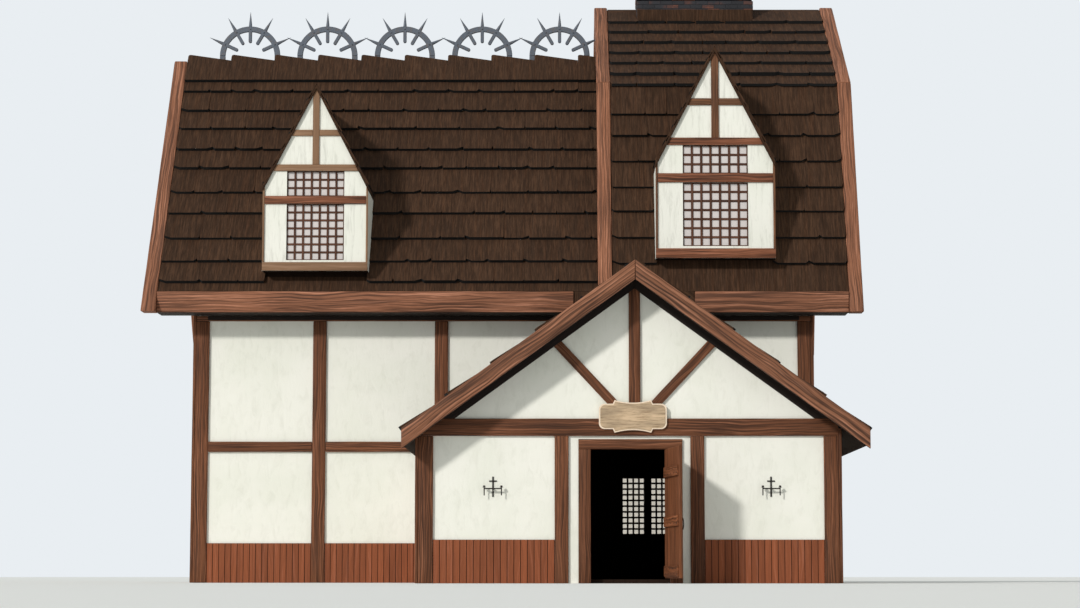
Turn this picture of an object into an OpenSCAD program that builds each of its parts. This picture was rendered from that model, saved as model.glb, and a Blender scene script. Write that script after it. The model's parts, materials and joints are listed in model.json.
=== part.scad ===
// Half timbered house: a low left wing, a taller right block under a two-pitch roof, a gabled front
// wing with the door, two dormers, iron ridge cresting and a brick chimney.
// Millimetres. X to the right, Y to the back, Z up. The origin is on the ground, half way along the
// main body and half way through the right block.

/* [Main body] */
// Width of the main body over its two end walls
main_w = 10720; // [9900:10:13000]
// Depth of the right block from front wall to rear wall
block_d = 7200; // [6200:10:8800]
// Width of the right block over its walls
block_w = 3370; // [2900:10:4100]
// Depth of the left wing from front wall to rear wall
left_d = 4800; // [4000:10:5800]
// Thickness of the outer walls
wall_t = 200; // [150:5:260]
// Height of the eaves soffit above the ground
soffit_z = 4630; // [4500:10:5600]
// Height of the wood panelling at the foot of the walls
wainscot_h = 680; // [500:10:820]
// Thickness of the wood panelling
wainscot_t = 30; // [20:1:45]

/* [Floors] */
// Thickness of the ground floor
ground_floor_t = 60; // [40:5:100]
// Thickness of the attic floor with its joists
attic_floor_t = 240; // [180:10:300]

/* [Main roof] */
// How far the eaves stand out from the walls
eave_out = 600; // [450:10:750]
// Height of the front board of the eaves
fascia_h = 370; // [330:10:450]
// Thickness of the eaves boards
eave_board_t = 110; // [60:5:130]
// Thickness of the soffit boards
soffit_t = 30; // [20:1:40]
// How far behind the face of the eaves board the shingles start
shingle_set = 95; // [50:5:110]
// Thickness of the board that closes the eaves over the front wing
apron_t = 60; // [30:5:80]
// How far the roof stands out past the end walls
verge_out = 860; // [600:10:1000]
// How far the right block's roof stands out over the left wing
inner_verge_out = 350; // [300:10:500]
// Thickness of the roof with its boards and shingles
roof_t = 180; // [140:5:240]
// Height of the left wing's ridge
left_ridge_z = 9600; // [8800:10:9900]
// Height of the right block's ridge
block_ridge_z = 10930; // [10600:10:12000]
// Height of the bend in the right block's roof
knee_z = 8920; // [8500:10:9400]
// How far behind the eave the bend lies
knee_in = 1420; // [1100:10:1700]
// Width of the verge timbers as seen from the front
verge_w = 250; // [180:10:290]
// How far the verge timbers stand above the shingles
verge_up = 50; // [20:5:80]
// Depth of the verge timbers below the top of the shingles
verge_down = 240; // [200:10:320]

/* [Front wing] */
// Width of the front wing over its walls
wing_w = 6600; // [5800:10:7600]
// How far the front wing stands out from the main wall
wing_d = 4000; // [3200:10:4800]
// Height of the front wing's ridge
wing_ridge_z = 4985; // [4700:5:4995]
// How far the ridge lies to the right of the middle of the wing
wing_ridge_shift = 100; // [0:10:160]
// How far the roof stands out beyond the walls on the left
wing_eave_left = 237; // [180:1:400]
// How far the roof stands out beyond the walls on the right
wing_eave_right = 437; // [300:1:500]
// Slope of the front wing's roof in degrees
wing_slope = 36; // [34:0.5:37]
// Thickness of the front wing's roof
wing_roof_t = 160; // [120:5:200]
// How far the roof stands out in front of the wing
wing_out = 600; // [400:10:750]
// Depth of the boards along the gable
barge_h = 260; // [200:10:320]
// Thickness of the boards along the gable
barge_t = 60; // [40:5:80]
// How far these boards stand above the shingles
barge_up = 38; // [20:1:60]
// Where the main eaves board stops, left of the wing's ridge
fascia_gap_left = 940; // [800:10:1200]
// Where the main eaves board stops, right of the wing's ridge
fascia_gap_right = 1150; // [900:10:1300]

/* [Timber frame] */
// How far the timbers stand out from the plaster
timber_t = 50; // [35:5:70]
// Width of the main posts
post_w = 235; // [180:5:280]
// From the first to the second post of the main front
bay_1 = 2040; // [1800:10:2300]
// From the second to the third post of the main front
bay_2 = 2120; // [1800:10:2300]
// Height of the underside of the middle rail of the main walls
rail_z = 2256; // [2000:5:2500]
// Height of the middle rail
rail_h = 180; // [120:5:220]
// Height of the top rail under the soffit
top_rail_h = 93; // [60:1:140]
// Height of the underside of the wing's tie beam
tie_z = 2302; // [2260:1:2500]
// Height of the wing's tie beam
tie_h = 276; // [200:2:320]
// Width of the king post
king_w = 185; // [140:5:220]
// Width of the braces
brace_w = 150; // [110:5:190]
// Slope of the wing's braces in degrees
brace_slope = 47; // [42:1:52]
// Width of the posts beside the doorway
inner_post_w = 222; // [180:2:250]
// From the middle of the wing to the posts beside the doorway
inner_post_at = 1066; // [1040:2:1200]
// Gap between timbers that meet
joint_gap = 0.4; // [0.3:0.1:0.8]

/* [Doorway] */
// Width of the clear doorway
door_w = 1245; // [1000:5:1260]
// Height of the clear doorway above the ground
door_h = 2097; // [1950:1:2100]
// Where the middle of the doorway lies, from the middle of the wing
door_shift = 32; // [-30:1:40]
// Width of the sides of the door frame
jamb_w = 195; // [140:5:200]
// Height of the head of the door frame
head_h = 158; // [120:2:158]
// Thickness of the boards of the door leaf
leaf_t = 45; // [40:1:60]
// How far the leaf lies behind the face of its frame
leaf_in = 25; // [15:1:35]
// Gap round the door leaf
leaf_gap = 9; // [8:1:14]
// Gap under the door leaf
leaf_foot_gap = 20; // [10:1:40]
// Thickness of the battens on the door leaf
batten_t = 30; // [20:1:40]
// Height of a batten
batten_h = 165; // [120:5:200]
// Height of the lowest batten above the foot of the leaf
batten_foot = 25; // [10:5:80]
// From one batten to the next
batten_pitch = 765; // [650:5:800]
// How far the door stands open, in degrees
door_open = 98; // [90:1:110]
// Radius of the hinge pins
pin_r = 9; // [7:0.5:12]
// Running gap round the hinge pins
pin_gap = 0.3; // [0.2:0.05:0.4]
// Height of the knuckle of a hinge
knuckle_h = 60; // [40:5:80]
// Length of a hinge's strap
strap_l = 760; // [400:10:900]
// Height of a hinge's strap
strap_h = 50; // [35:5:70]
// Radius of the door ring
ring_r = 85; // [60:1:100]
// Thickness of the iron of the door ring
ring_iron = 16; // [12:1:22]
// Height of the door ring above the ground
ring_z = 900; // [850:10:1200]

/* [Wall irons and plaque] */
// From the middle of the wing to the left wall iron
sconce_left_at = 2127; // [1900:1:2300]
// From the middle of the wing to the right wall iron
sconce_right_at = 2236; // [1900:1:2400]
// Height of the foot of the wall irons
sconce_z = 1349; // [1200:1:1500]
// Height of the wall irons
sconce_h = 316; // [260:2:360]
// Half the spread of a wall iron's two cups
sconce_arm = 135; // [110:1:160]
// From the middle of the wing to the middle of the plaque
plaque_at = 70; // [0:5:120]
// Width of the plaque over the door
plaque_w = 1068; // [900:2:1150]
// Height of the plaque's two ends
plaque_h = 400; // [300:10:420]
// Thickness of the plaque
plaque_t = 40; // [25:1:50]

/* [Dormers] */
// Width of the right dormer
dormer_w = 2075; // [1800:5:2300]
// Height of its side walls over the foot beam's underside
dormer_side_h = 1700; // [1500:10:1800]
// Height of its gable over the side walls
dormer_rise = 2026; // [1850:2:2100]
// Height of its foot beam
dormer_foot_h = 170; // [120:5:200]
// Width of the boards up its sides
dormer_side_w = 40; // [30:2:70]
// Thickness of its walls
dormer_wall_t = 110; // [80:5:130]
// Thickness of its roof
dormer_roof_t = 50; // [40:5:80]
// How far its roof stands out in front of its wall
dormer_out = 60; // [40:5:90]
// Width of its windows
dormer_window_w = 1130; // [950:5:1250]
// Height of the lower window's sill over the foot beam's underside
dormer_low_z = 211; // [205:1:260]
// Height of the lower window
dormer_low_h = 1111; // [900:1:1130]
// Height of the rail between the windows
dormer_mid_h = 161; // [120:1:180]
// Height of the upper window
dormer_top_h = 496; // [400:1:520]
// Height of the collar beam over the upper window
dormer_collar_h = 130; // [100:2:160]
// Height of the upper rail's underside over the foot beam's underside
dormer_rail_z = 2680; // [2550:5:2760]
// Height of the upper rail
dormer_rail_h = 122; // [90:2:150]
// Width of the post in the gable
dormer_post_w = 132; // [100:2:160]
// How far the dormer's timbers stand out
dormer_timber_t = 30; // [20:1:36]
// Height of the underside of the right dormer's foot beam
right_dormer_z = 5574; // [5450:1:5700]
// Middle of the right dormer from the right end wall
right_dormer_at = 1682; // [1500:1:1800]
// Height of the underside of the left dormer's foot beam
left_dormer_z = 5354; // [5250:1:5500]
// Middle of the left dormer from the left end wall
left_dormer_at = 2111; // [1900:1:2600]
// Size of the left dormer beside the right one
left_dormer_scale = 0.88; // [0.8:0.01:0.92]

/* [Rear windows] */
// Width of each light of the rear windows
rear_light_w = 460; // [400:10:600]
// Height of a rear light
rear_light_h = 1150; // [900:10:1250]
// Height of the sills of the rear windows
rear_sill_z = 950; // [850:10:1000]
// Width of the post between the two lights
rear_mullion_w = 120; // [110:5:180]
// From the inside of the block's corner to the nearest light
rear_window_at = 50; // [50:5:200]
// Thickness of the panes with their lattice
pane_t = 24; // [16:1:30]

/* [Ridge and chimney] */
// Distance between the iron half wheels
wheel_pitch = 1451; // [1400:1:1600]
// Number of iron half wheels
wheel_count = 5; // [3:1:5]
// From the left block wall to the nearest half wheel
wheel_at = 1013; // [900:1:1300]
// Height of the middle of the half wheels over the ridge
wheel_up = 210; // [150:5:260]
// Outer radius of an iron half wheel
wheel_r = 565; // [450:5:600]
// Width of the iron rims
rim_w = 100; // [60:2:120]
// Reach of the spikes from the wheel's middle
spike_r = 840; // [700:5:900]
// Where the spikes begin, from the wheel's middle
spike_foot_r = 240; // [180:5:300]
// Width of the spikes at the rim
spike_w = 60; // [40:2:80]
// Thickness of the iron
iron_t = 50; // [30:2:60]
// How far the iron stands behind the ridge
wheel_back = 150; // [140:5:200]
// Width of the comb boards along the left ridge
comb_w = 810; // [600:10:900]
// How far the comb stands above the ridge, at its low ends
comb_up = 130; // [80:5:160]
// How far each comb board's high end stands above its low end
comb_tooth = 85; // [30:5:110]
// How far the comb reaches down the slope
comb_down = 640; // [500:10:800]
// Thickness of the comb boards
comb_t = 40; // [25:1:60]
// Width of the chimney stack
chimney_w = 2200; // [1600:10:2300]
// Depth of the chimney stack
chimney_d = 1000; // [700:10:1200]
// Height of the chimney above the ridge
chimney_up = 1500; // [1000:10:1900]
// Middle of the chimney from the right end wall
chimney_at = 1807; // [1500:1:2000]
// Depth of the recessed course at the foot of the stack
chimney_recess = 100; // [60:5:140]
// Width of each flue
flue_w = 760; // [400:10:780]
// Depth of each flue
flue_d = 560; // [400:10:600]

/* [Hidden] */

plaster = "#ECEBE0";
timber = "#6B4030";
panelling = "#7A3B26";
shingle = "#3B2C22";
iron = "#2F3134";
pane = "#DCD8D6";
brick = "#7A4434";
plaque = "#A8937A";

// Main body
end_x = main_w / 2;
block_x = end_x - block_w;
front_y = -block_d / 2;
rear_y = block_d / 2;
left_rear_y = front_y + left_d;
left_mid_y = front_y + left_d / 2;
roof_z = soffit_z + fascia_h;
attic_under_z = roof_z - attic_floor_t;
face_y = front_y - timber_t;

// Main roof, the top of each slope as points [y, z]
eave_y = front_y - eave_out;
block_eave = [eave_y + shingle_set, roof_z];
block_knee = [eave_y + knee_in, knee_z];
block_ridge = [0, block_ridge_z];
block_line = [block_eave, block_knee, block_ridge, [-block_knee.x, knee_z], [-block_eave.x, roof_z]];
left_ridge = [left_mid_y, left_ridge_z];
left_line = [block_eave, left_ridge, [2 * left_mid_y - block_eave.x, roof_z]];
left_slope = atan2(left_ridge_z - roof_z, left_mid_y - block_eave.x);
verge_x = end_x + verge_out;
inner_verge_x = block_x - inner_verge_out;

// Front wing
wing_x = end_x - wing_w / 2;
wing_left_x = wing_x - wing_w / 2;
wing_front_y = front_y - wing_d;
wing_face_y = wing_front_y - timber_t;
wing_ridge_x = wing_x + wing_ridge_shift;
wing_barge_y = wing_front_y - wing_out;
wing_roof_left_x = wing_left_x - wing_eave_left;
wing_roof_right_x = end_x + wing_eave_right;
wing_roof_down = wing_roof_t / cos(wing_slope);
fascia_left_x = wing_ridge_x - fascia_gap_left;
fascia_right_x = wing_ridge_x + fascia_gap_right;

// Doorway
door_x = wing_x + door_shift;
door_left_x = door_x - door_w / 2;
door_right_x = door_x + door_w / 2;
frame_top_z = door_h + head_h;
knuckle_r = 2 * pin_r;
hinge_x = door_right_x;
hinge_y = wing_face_y - knuckle_r - 6;
leaf_w = door_w - 2 * leaf_gap;
leaf_z = ground_floor_t + leaf_foot_gap;
leaf_x = hinge_x - leaf_gap - leaf_w;
leaf_y = wing_face_y + leaf_in;
batten_zs = [for (i = [0 : 2]) leaf_z + batten_foot + i * batten_pitch];

// Openings and places along the walls
front_post_xs = [-end_x + post_w / 2, -end_x + post_w / 2 + bay_1, -end_x + post_w / 2 + bay_1 + bay_2];
rear_window_w = 2 * rear_light_w + rear_mullion_w;
rear_window_x = block_x + wall_t + rear_window_at;
rear_window_xs = [rear_window_x, block_x - timber_t + end_x - rear_window_x - rear_window_w];
chimney_x = end_x - chimney_at;
wheel_xs = [for (i = [0 : wheel_count - 1]) block_x - wheel_at - i * wheel_pitch];

// A dormer as [x, z, scale]
left_dormer = [-end_x + left_dormer_at, left_dormer_z, left_dormer_scale];
right_dormer = [end_x - right_dormer_at, right_dormer_z, 1];
dormer_slope = atan2(dormer_rise, dormer_w / 2);
dormer_roof_down = dormer_roof_t / cos(dormer_slope);
dormer_top_z = dormer_low_z + dormer_low_h + dormer_mid_h;

function unit(v) = v / norm(v);
function left_of(v) = [-v.y, v.x];

// Corner b of the line a-b-c, moved by d to the left of the way it runs
function moved_corner(a, b, c, d) =
    let (n1 = left_of(unit(b - a)), n2 = left_of(unit(c - b))) b + d * (n1 + n2) / (1 + n1 * n2);

// Point at height z on the line from a to b moved by d to its left
function point_at(a, b, d, z) =
    let (n = left_of(unit(b - a)), p = a + d * n, q = b + d * n) [p.x + (z - p.y) * (q.x - p.x) / (q.y - p.y), z];

// The line's inside at depth d, from one foot at height z to the other
function inside(line, d, z) =
    let (last = len(line) - 1)
    concat([point_at(line[0], line[1], -d, z)],
           [for (i = [1 : last - 1]) moved_corner(line[i - 1], line[i], line[i + 1], -d)],
           [point_at(line[last - 1], line[last], -d, z)]);

function wing_top(x) = wing_ridge_z - abs(x - wing_ridge_x) * tan(wing_slope);
function wing_under(x) = wing_top(x) - wing_roof_down;

block_inside = inside(block_line, roof_t, roof_z);
left_inside = inside(left_line, roof_t, roof_z);

// A box between its lowest and highest corners
module block(lo, hi) {
    translate(lo) cube(hi - lo);
}

// A flat bar between its lowest and highest corners, made wider by grow
module bar(lo, hi, grow = 0) {
    translate(lo - [grow, grow]) square(hi - lo + [2 * grow, 2 * grow]);
}

// Points [y, z] drawn out along X
module along_x(points, x0, x1) {
    translate([x0, 0, 0]) rotate([90, 0, 90]) linear_extrude(x1 - x0) polygon(points);
}

// Points [x, z] drawn out along Y
module along_y(points, y0, y1) {
    translate([0, y1, 0]) rotate([90, 0, 0]) linear_extrude(y1 - y0) polygon(points);
}

// A flat frame [x, z] standing on a wall that faces the front
module on_front(y, t) {
    translate([0, y, 0]) rotate([90, 0, 0]) linear_extrude(t) children();
}

// A flat frame [x, z] standing on a wall that faces the back
module on_rear(y, t) {
    translate([0, y + t, 0]) rotate([90, 0, 0]) linear_extrude(t) children();
}

// A flat frame [y, z] standing between x0 and x1
module on_end(x0, x1) {
    translate([x0, 0, 0]) rotate([90, 0, 90]) linear_extrude(x1 - x0) children();
}

// Everything under the top of a main roof
module roof_mass(line, x0, x1) {
    last = len(line) - 1;
    along_x(concat([[line[0].x, 0]], line, [[line[last].x, 0]]), x0, x1);
}

// The front wing with its roof, as a solid, grown by grow
module wing_mass(y0, y1, grow = 0) {
    l = wing_roof_left_x - grow;
    r = wing_roof_right_x + grow;
    wl = wing_left_x - grow;
    wr = end_x + grow;
    along_y([[wl, -1], [wl, wing_under(wl) - grow], [l, wing_under(l) - grow], [l, wing_top(l) + 2 * grow],
             [wing_ridge_x, wing_ridge_z + 2 * grow], [r, wing_top(r) + 2 * grow], [r, wing_under(r) - grow],
             [wr, wing_under(wr) - grow], [wr, -1]], y0, y1);
}

// Floors

module ground_floor() {
    color(timber) {
        block([-end_x + wall_t, front_y + wall_t, 0], [block_x, left_rear_y - wall_t, ground_floor_t]);
        linear_extrude(ground_floor_t)
            polygon([[block_x + joint_gap, front_y + wall_t], [end_x - wall_t, front_y + wall_t],
                     [end_x - wall_t, rear_y - wall_t], [block_x + wall_t, rear_y - wall_t],
                     [block_x + wall_t, left_rear_y - wall_t], [block_x + joint_gap, left_rear_y - wall_t]]);
        block([wing_left_x + wall_t, wing_front_y + wall_t, 0],
              [end_x - wall_t, front_y + wall_t - joint_gap, ground_floor_t]);
    }
}

module left_attic_floor() {
    color(timber)
    difference() {
        block([-end_x + wall_t, eave_y + eave_board_t, attic_under_z],
              [block_x, left_rear_y + eave_out - eave_board_t, roof_z]);
        block_overhang(inner_verge_x + verge_w + joint_gap);
    }
}

module block_attic_floor() {
    color(timber)
    block([block_x, eave_y + eave_board_t, attic_under_z],
          [end_x - wall_t, rear_y + eave_out - eave_board_t, roof_z]);
}

// Main walls

// Left of the front wing it stands on the ground, behind the wing it is carried over the rooms
module front_wall() {
    color(plaster)
    along_y([[-end_x + wall_t, 0], [wing_left_x + wall_t, 0], [wing_left_x + wall_t, tie_z],
             [end_x - wall_t, tie_z], [end_x - wall_t, attic_under_z], [-end_x + wall_t, attic_under_z]],
            front_y, front_y + wall_t);
}

// An end wall: the storey below, the jettied floor's end and the gable above
function end_outline(inner, y0, y1) =
    let (e0 = y0 - eave_out + eave_board_t, e1 = y1 + eave_out - eave_board_t)
    concat([[y0, 0], [y0, attic_under_z], [e0, attic_under_z], [e0, roof_z]], inner,
           [[e1, roof_z], [e1, attic_under_z], [y1, attic_under_z], [y1, 0]]);

module left_end_wall() {
    color(plaster)
    along_x(end_outline(left_inside, front_y, left_rear_y), -end_x, -end_x + wall_t);
}

module right_end_wall() {
    color(plaster)
    along_x(end_outline(block_inside, front_y, rear_y), end_x - wall_t, end_x);
}

module rear_wall_left() {
    color(plaster)
    block([-end_x + wall_t, left_rear_y - wall_t, 0], [block_x + wall_t, left_rear_y, attic_under_z]);
}

module rear_lights(grow = 0) {
    for (x = rear_window_xs, i = [0, 1]) {
        x0 = x + i * (rear_light_w + rear_mullion_w);
        bar([x0, rear_sill_z], [x0 + rear_light_w, rear_sill_z + rear_light_h], grow);
    }
}

module rear_wall_right() {
    color(plaster)
    on_rear(rear_y - wall_t, wall_t)
    difference() {
        bar([block_x, 0], [end_x - wall_t, attic_under_z]);
        rear_lights();
    }
}

module inner_corner_wall() {
    color(plaster)
    block([block_x, left_rear_y, 0], [block_x + wall_t, rear_y - wall_t, attic_under_z]);
}

module cross_gable_wall() {
    color(plaster)
    along_x(block_inside, block_x, block_x + wall_t);
}

// Front wing walls

module wing_front_walls() {
    color(plaster) {
        block([wing_left_x, wing_front_y, 0], [door_left_x - jamb_w, wing_front_y + wall_t, frame_top_z]);
        block([door_right_x + jamb_w, wing_front_y, 0], [end_x, wing_front_y + wall_t, frame_top_z]);
    }
}

module wing_gable_outline(foot_z, down = 0) {
    polygon([[wing_left_x, foot_z], [end_x, foot_z], [end_x, wing_under(end_x) - down],
             [wing_ridge_x, wing_under(wing_ridge_x) - down], [wing_left_x, wing_under(wing_left_x) - down]]);
}

module wing_gable_wall() {
    color(plaster)
    on_rear(wing_front_y, wall_t) wing_gable_outline(frame_top_z, joint_gap);
}

module wing_side_walls() {
    color(plaster)
    for (x0 = [wing_left_x, end_x - wall_t]) {
        along_y([[x0, 0], [x0 + wall_t, 0], [x0 + wall_t, wing_under(x0 + wall_t) - joint_gap],
                 [x0, wing_under(x0) - joint_gap]], wing_front_y + wall_t, front_y);
    }
}

// Timber frame. Posts stand from the ground to the top rail, rails are cut between them

module posts(xs, w, top_z, grow = 0) {
    for (x = xs) {
        bar([x - w / 2 - grow, 0], [x + w / 2 + grow, top_z]);
    }
}

module wall_frame(x0, x1, xs, top_z, rails) {
    posts(xs, post_w, top_z - top_rail_h - joint_gap);
    bar([x0, top_z - top_rail_h], [x1, top_z]);
    difference() {
        for (z = rails) {
            bar([x0, z], [x1, z + rail_h]);
        }
        posts(xs, post_w, top_z, joint_gap);
    }
}

module front_timbers() {
    color(timber)
    difference() {
        on_front(front_y, timber_t)
            wall_frame(-end_x, end_x, concat(front_post_xs, [end_x - post_w / 2]), soffit_z, [rail_z]);
        wing_mass(face_y - 10, front_y + 10, joint_gap);
    }
}

// Frame of an end wall, cut to the gable
module end_frame(inner, y0, y1, mid_y) {
    e0 = y0 - eave_out + eave_board_t;
    e1 = y1 + eave_out - eave_board_t;
    apex = max([for (p = inner) p.y]);
    post_ys = [y0 - timber_t + post_w / 2, mid_y, y1 + timber_t - post_w / 2];
    wall_frame(y0 - timber_t, y1 + timber_t, post_ys, attic_under_z - joint_gap, [rail_z]);
    bar([e0, attic_under_z], [e1, roof_z]);
    intersection() {
        polygon([for (p = inner) p - [0, 2 * joint_gap]]);
        union() {
            bar([mid_y - king_w / 2, roof_z + joint_gap], [mid_y + king_w / 2, apex]);
            difference() {
                for (z = [7300, knee_z - 700]) {
                    bar([e0, z], [e1, z + rail_h]);
                }
                bar([mid_y - king_w / 2 - joint_gap, roof_z], [mid_y + king_w / 2 + joint_gap, apex]);
            }
        }
    }
}

module end_timbers() {
    color(timber) {
        on_end(-end_x - timber_t, -end_x) end_frame(left_inside, front_y, left_rear_y, left_mid_y);
        difference() {
            on_end(end_x, end_x + timber_t) end_frame(block_inside, front_y, rear_y, 0);
            wing_mass(face_y - 10, front_y, joint_gap);
        }
    }
}

module rear_timbers() {
    left_xs = [-end_x + post_w / 2, (block_x - end_x) / 2, block_x - timber_t - post_w / 2];
    right_xs = [block_x - timber_t + post_w / 2, end_x - post_w / 2];
    color(timber) {
        on_rear(left_rear_y, timber_t) wall_frame(-end_x, block_x - timber_t, left_xs, soffit_z, [rail_z]);
        on_rear(rear_y, timber_t)
        difference() {
            wall_frame(block_x - timber_t, end_x, right_xs, soffit_z, [rail_z]);
            rear_lights(joint_gap);
        }
        on_end(block_x - timber_t, block_x) {
            bar([left_rear_y + timber_t + joint_gap, rail_z], [rear_y - joint_gap, rail_z + rail_h]);
        }
    }
}

module inner_posts(grow = 0) {
    for (side = [-1, 1]) {
        x = wing_x + door_shift / 2 + side * inner_post_at;
        bar([x - inner_post_w / 2 - grow, 0], [x + inner_post_w / 2 + grow, tie_z - joint_gap]);
    }
}

module king_post(grow = 0) {
    bar([wing_ridge_x - king_w / 2 - grow, tie_z + tie_h + joint_gap], [wing_ridge_x + king_w / 2 + grow, wing_ridge_z]);
}

// The two braces lean from the rafters down to the foot of the king post
module wing_braces() {
    foot = [wing_ridge_x, tie_z + tie_h];
    for (side = [-1, 1]) {
        translate(foot) mirror([side > 0 ? 0 : 1, 0]) translate([king_w / 2 + 20, 0])
            rotate(brace_slope) translate([-brace_w, -brace_w / 2]) square([3000, brace_w]);
    }
}

module wing_front_frame() {
    bar([wing_left_x, 0], [wing_left_x + post_w, tie_z - joint_gap]);
    bar([end_x - post_w, 0], [end_x, tie_z - joint_gap]);
    inner_posts();
    intersection() {
        wing_gable_outline(0, 2 * joint_gap);
        union() {
            bar([wing_left_x, tie_z], [end_x, tie_z + tie_h]);
            king_post();
            difference() {
                wing_braces();
                bar([wing_left_x, 0], [end_x, tie_z + tie_h + joint_gap]);
                king_post(joint_gap);
            }
        }
    }
}

module wing_timbers() {
    color(timber) {
        on_front(wing_front_y, timber_t) wing_front_frame();
        on_end(wing_left_x - timber_t, wing_left_x - joint_gap) {
            bar([wing_face_y, 0], [wing_face_y + post_w, wing_under(wing_left_x - timber_t) - 2 * joint_gap]);
            bar([face_y - post_w - joint_gap, 0], [face_y - joint_gap, wing_under(wing_left_x - timber_t) - 2 * joint_gap]);
        }
        on_end(end_x + joint_gap, end_x + timber_t) {
            bar([wing_face_y, 0], [wing_face_y + post_w, wing_under(end_x + timber_t) - 2 * joint_gap]);
        }
    }
}

// Wood panelling between the posts, from the ground up
module wainscot() {
    color(panelling) {
        on_front(front_y, wainscot_t)
        difference() {
            bar([-end_x, 0], [wing_left_x - timber_t - joint_gap, wainscot_h]);
            posts(front_post_xs, post_w, soffit_z, joint_gap);
        }
        on_front(wing_front_y, wainscot_t)
        difference() {
            union() {
                bar([wing_left_x + post_w + joint_gap, 0], [wing_x - inner_post_at, wainscot_h]);
                bar([wing_x + inner_post_at, 0], [end_x - post_w - joint_gap, wainscot_h]);
            }
            inner_posts(joint_gap);
        }
        on_end(wing_left_x - wainscot_t, wing_left_x)
            bar([wing_face_y + post_w + joint_gap, 0], [face_y - post_w - 2 * joint_gap, wainscot_h]);
        on_end(end_x, end_x + wainscot_t)
        difference() {
            bar([wing_face_y + post_w + joint_gap, 0], [rear_y, wainscot_h]);
            posts([front_y - timber_t + post_w / 2, 0, rear_y + timber_t - post_w / 2], post_w, soffit_z, joint_gap);
        }
        on_end(-end_x - wainscot_t, -end_x)
        difference() {
            bar([front_y, 0], [left_rear_y, wainscot_h]);
            posts([front_y - timber_t + post_w / 2, left_mid_y, left_rear_y + timber_t - post_w / 2],
                  post_w, soffit_z, joint_gap);
        }
        on_end(block_x - wainscot_t, block_x)
            bar([left_rear_y + timber_t + joint_gap, 0], [rear_y - joint_gap, wainscot_h]);
        on_rear(left_rear_y, wainscot_t)
        difference() {
            bar([-end_x, 0], [block_x - timber_t, wainscot_h]);
            posts([-end_x + post_w / 2, (block_x - end_x) / 2, block_x - timber_t - post_w / 2],
                  post_w, soffit_z, joint_gap);
        }
        on_rear(rear_y, wainscot_t)
        difference() {
            bar([block_x, 0], [end_x, wainscot_h]);
            posts([block_x - timber_t + post_w / 2, end_x - post_w / 2], post_w, soffit_z, joint_gap);
        }
    }
}

// Door

module door_frame() {
    back_y = wing_front_y + wall_t;
    color(timber) {
        block([door_left_x - jamb_w, wing_face_y, 0], [door_left_x, back_y, door_h - joint_gap]);
        block([door_right_x, wing_face_y, 0], [door_right_x + jamb_w, back_y, door_h - joint_gap]);
        block([door_left_x - jamb_w, wing_face_y, door_h], [door_right_x + jamb_w, back_y, frame_top_z]);
    }
}

// Each hinge: a pin on a bracket of the frame, turning in the knuckle of the leaf's strap
module hinge_pins() {
    color(iron)
    for (z = batten_zs) {
        mid_z = z + batten_h / 2;
        union() {
            translate([hinge_x, hinge_y, mid_z - knuckle_h]) cylinder(h = knuckle_h - pin_gap, r = knuckle_r, $fn = 48);
            translate([hinge_x, hinge_y, mid_z - knuckle_h]) cylinder(h = 2 * knuckle_h + 10, r = pin_r, $fn = 48);
            block([hinge_x, hinge_y - knuckle_r, mid_z - knuckle_h],
                  [hinge_x + jamb_w / 2, wing_face_y, mid_z - pin_gap]);
        }
    }
}

// Turns what hangs on the hinges from closed to how it stands
module hung() {
    translate([hinge_x, hinge_y, 0]) rotate(door_open) translate([-hinge_x, -hinge_y, 0]) children();
}

module door_leaf() {
    color(timber)
    hung() {
        block([leaf_x, leaf_y, leaf_z], [leaf_x + leaf_w, leaf_y + leaf_t, door_h - leaf_gap]);
        for (z = batten_zs) {
            block([leaf_x + 60, leaf_y + leaf_t - 5, z], [leaf_x + leaf_w - 60, leaf_y + leaf_t + batten_t, z + batten_h]);
        }
    }
}

module strap_hinges() {
    color(iron)
    hung()
    for (z = batten_zs) {
        mid_z = z + batten_h / 2;
        difference() {
            union() {
                block([hinge_x - strap_l, leaf_y - 8, mid_z], [hinge_x - 5, leaf_y, mid_z + strap_h]);
                block([hinge_x - knuckle_r, hinge_y, mid_z], [hinge_x - 5, leaf_y - 4, mid_z + strap_h]);
                translate([hinge_x, hinge_y, mid_z]) cylinder(h = knuckle_h, r = knuckle_r, $fn = 48);
            }
            translate([hinge_x, hinge_y, mid_z - 1]) cylinder(h = knuckle_h + 2, r = pin_r + pin_gap, $fn = 48);
        }
    }
}

module door_ring() {
    x = leaf_x + 110;
    color(iron)
    hung() {
        translate([x, leaf_y, ring_z + ring_r]) rotate([90, 0, 0]) {
            cylinder(h = 8, r = 42, $fn = 48);
            cylinder(h = 14 + ring_iron, r = 13, $fn = 32);
        }
        translate([x, leaf_y - 14 - ring_iron / 2, ring_z]) rotate([90, 0, 0])
            rotate_extrude($fn = 64) translate([ring_r, 0]) circle(r = ring_iron / 2, $fn = 24);
    }
}

// Main roof

// One slope between two corners of a roof line
module slope(outer_a, outer_b, inner_b, inner_a, x0, x1) {
    along_x([outer_a, outer_b, inner_b, inner_a], x0, x1);
}

// The hollow of a dormer, open to the attic behind it
module dormer_hollow(d, y0, y1) {
    w = dormer_w / 2 - dormer_wall_t;
    top = dormer_side_h + (dormer_w / 2 - w) * tan(dormer_slope) - dormer_roof_down;
    translate([d.x, 0, d.y]) scale([d.z, 1, d.z])
        along_y([[-w, dormer_foot_h], [w, dormer_foot_h], [w, top],
                 [0, dormer_side_h + dormer_rise - dormer_roof_down], [-w, top]], y0, y1);
}

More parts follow.
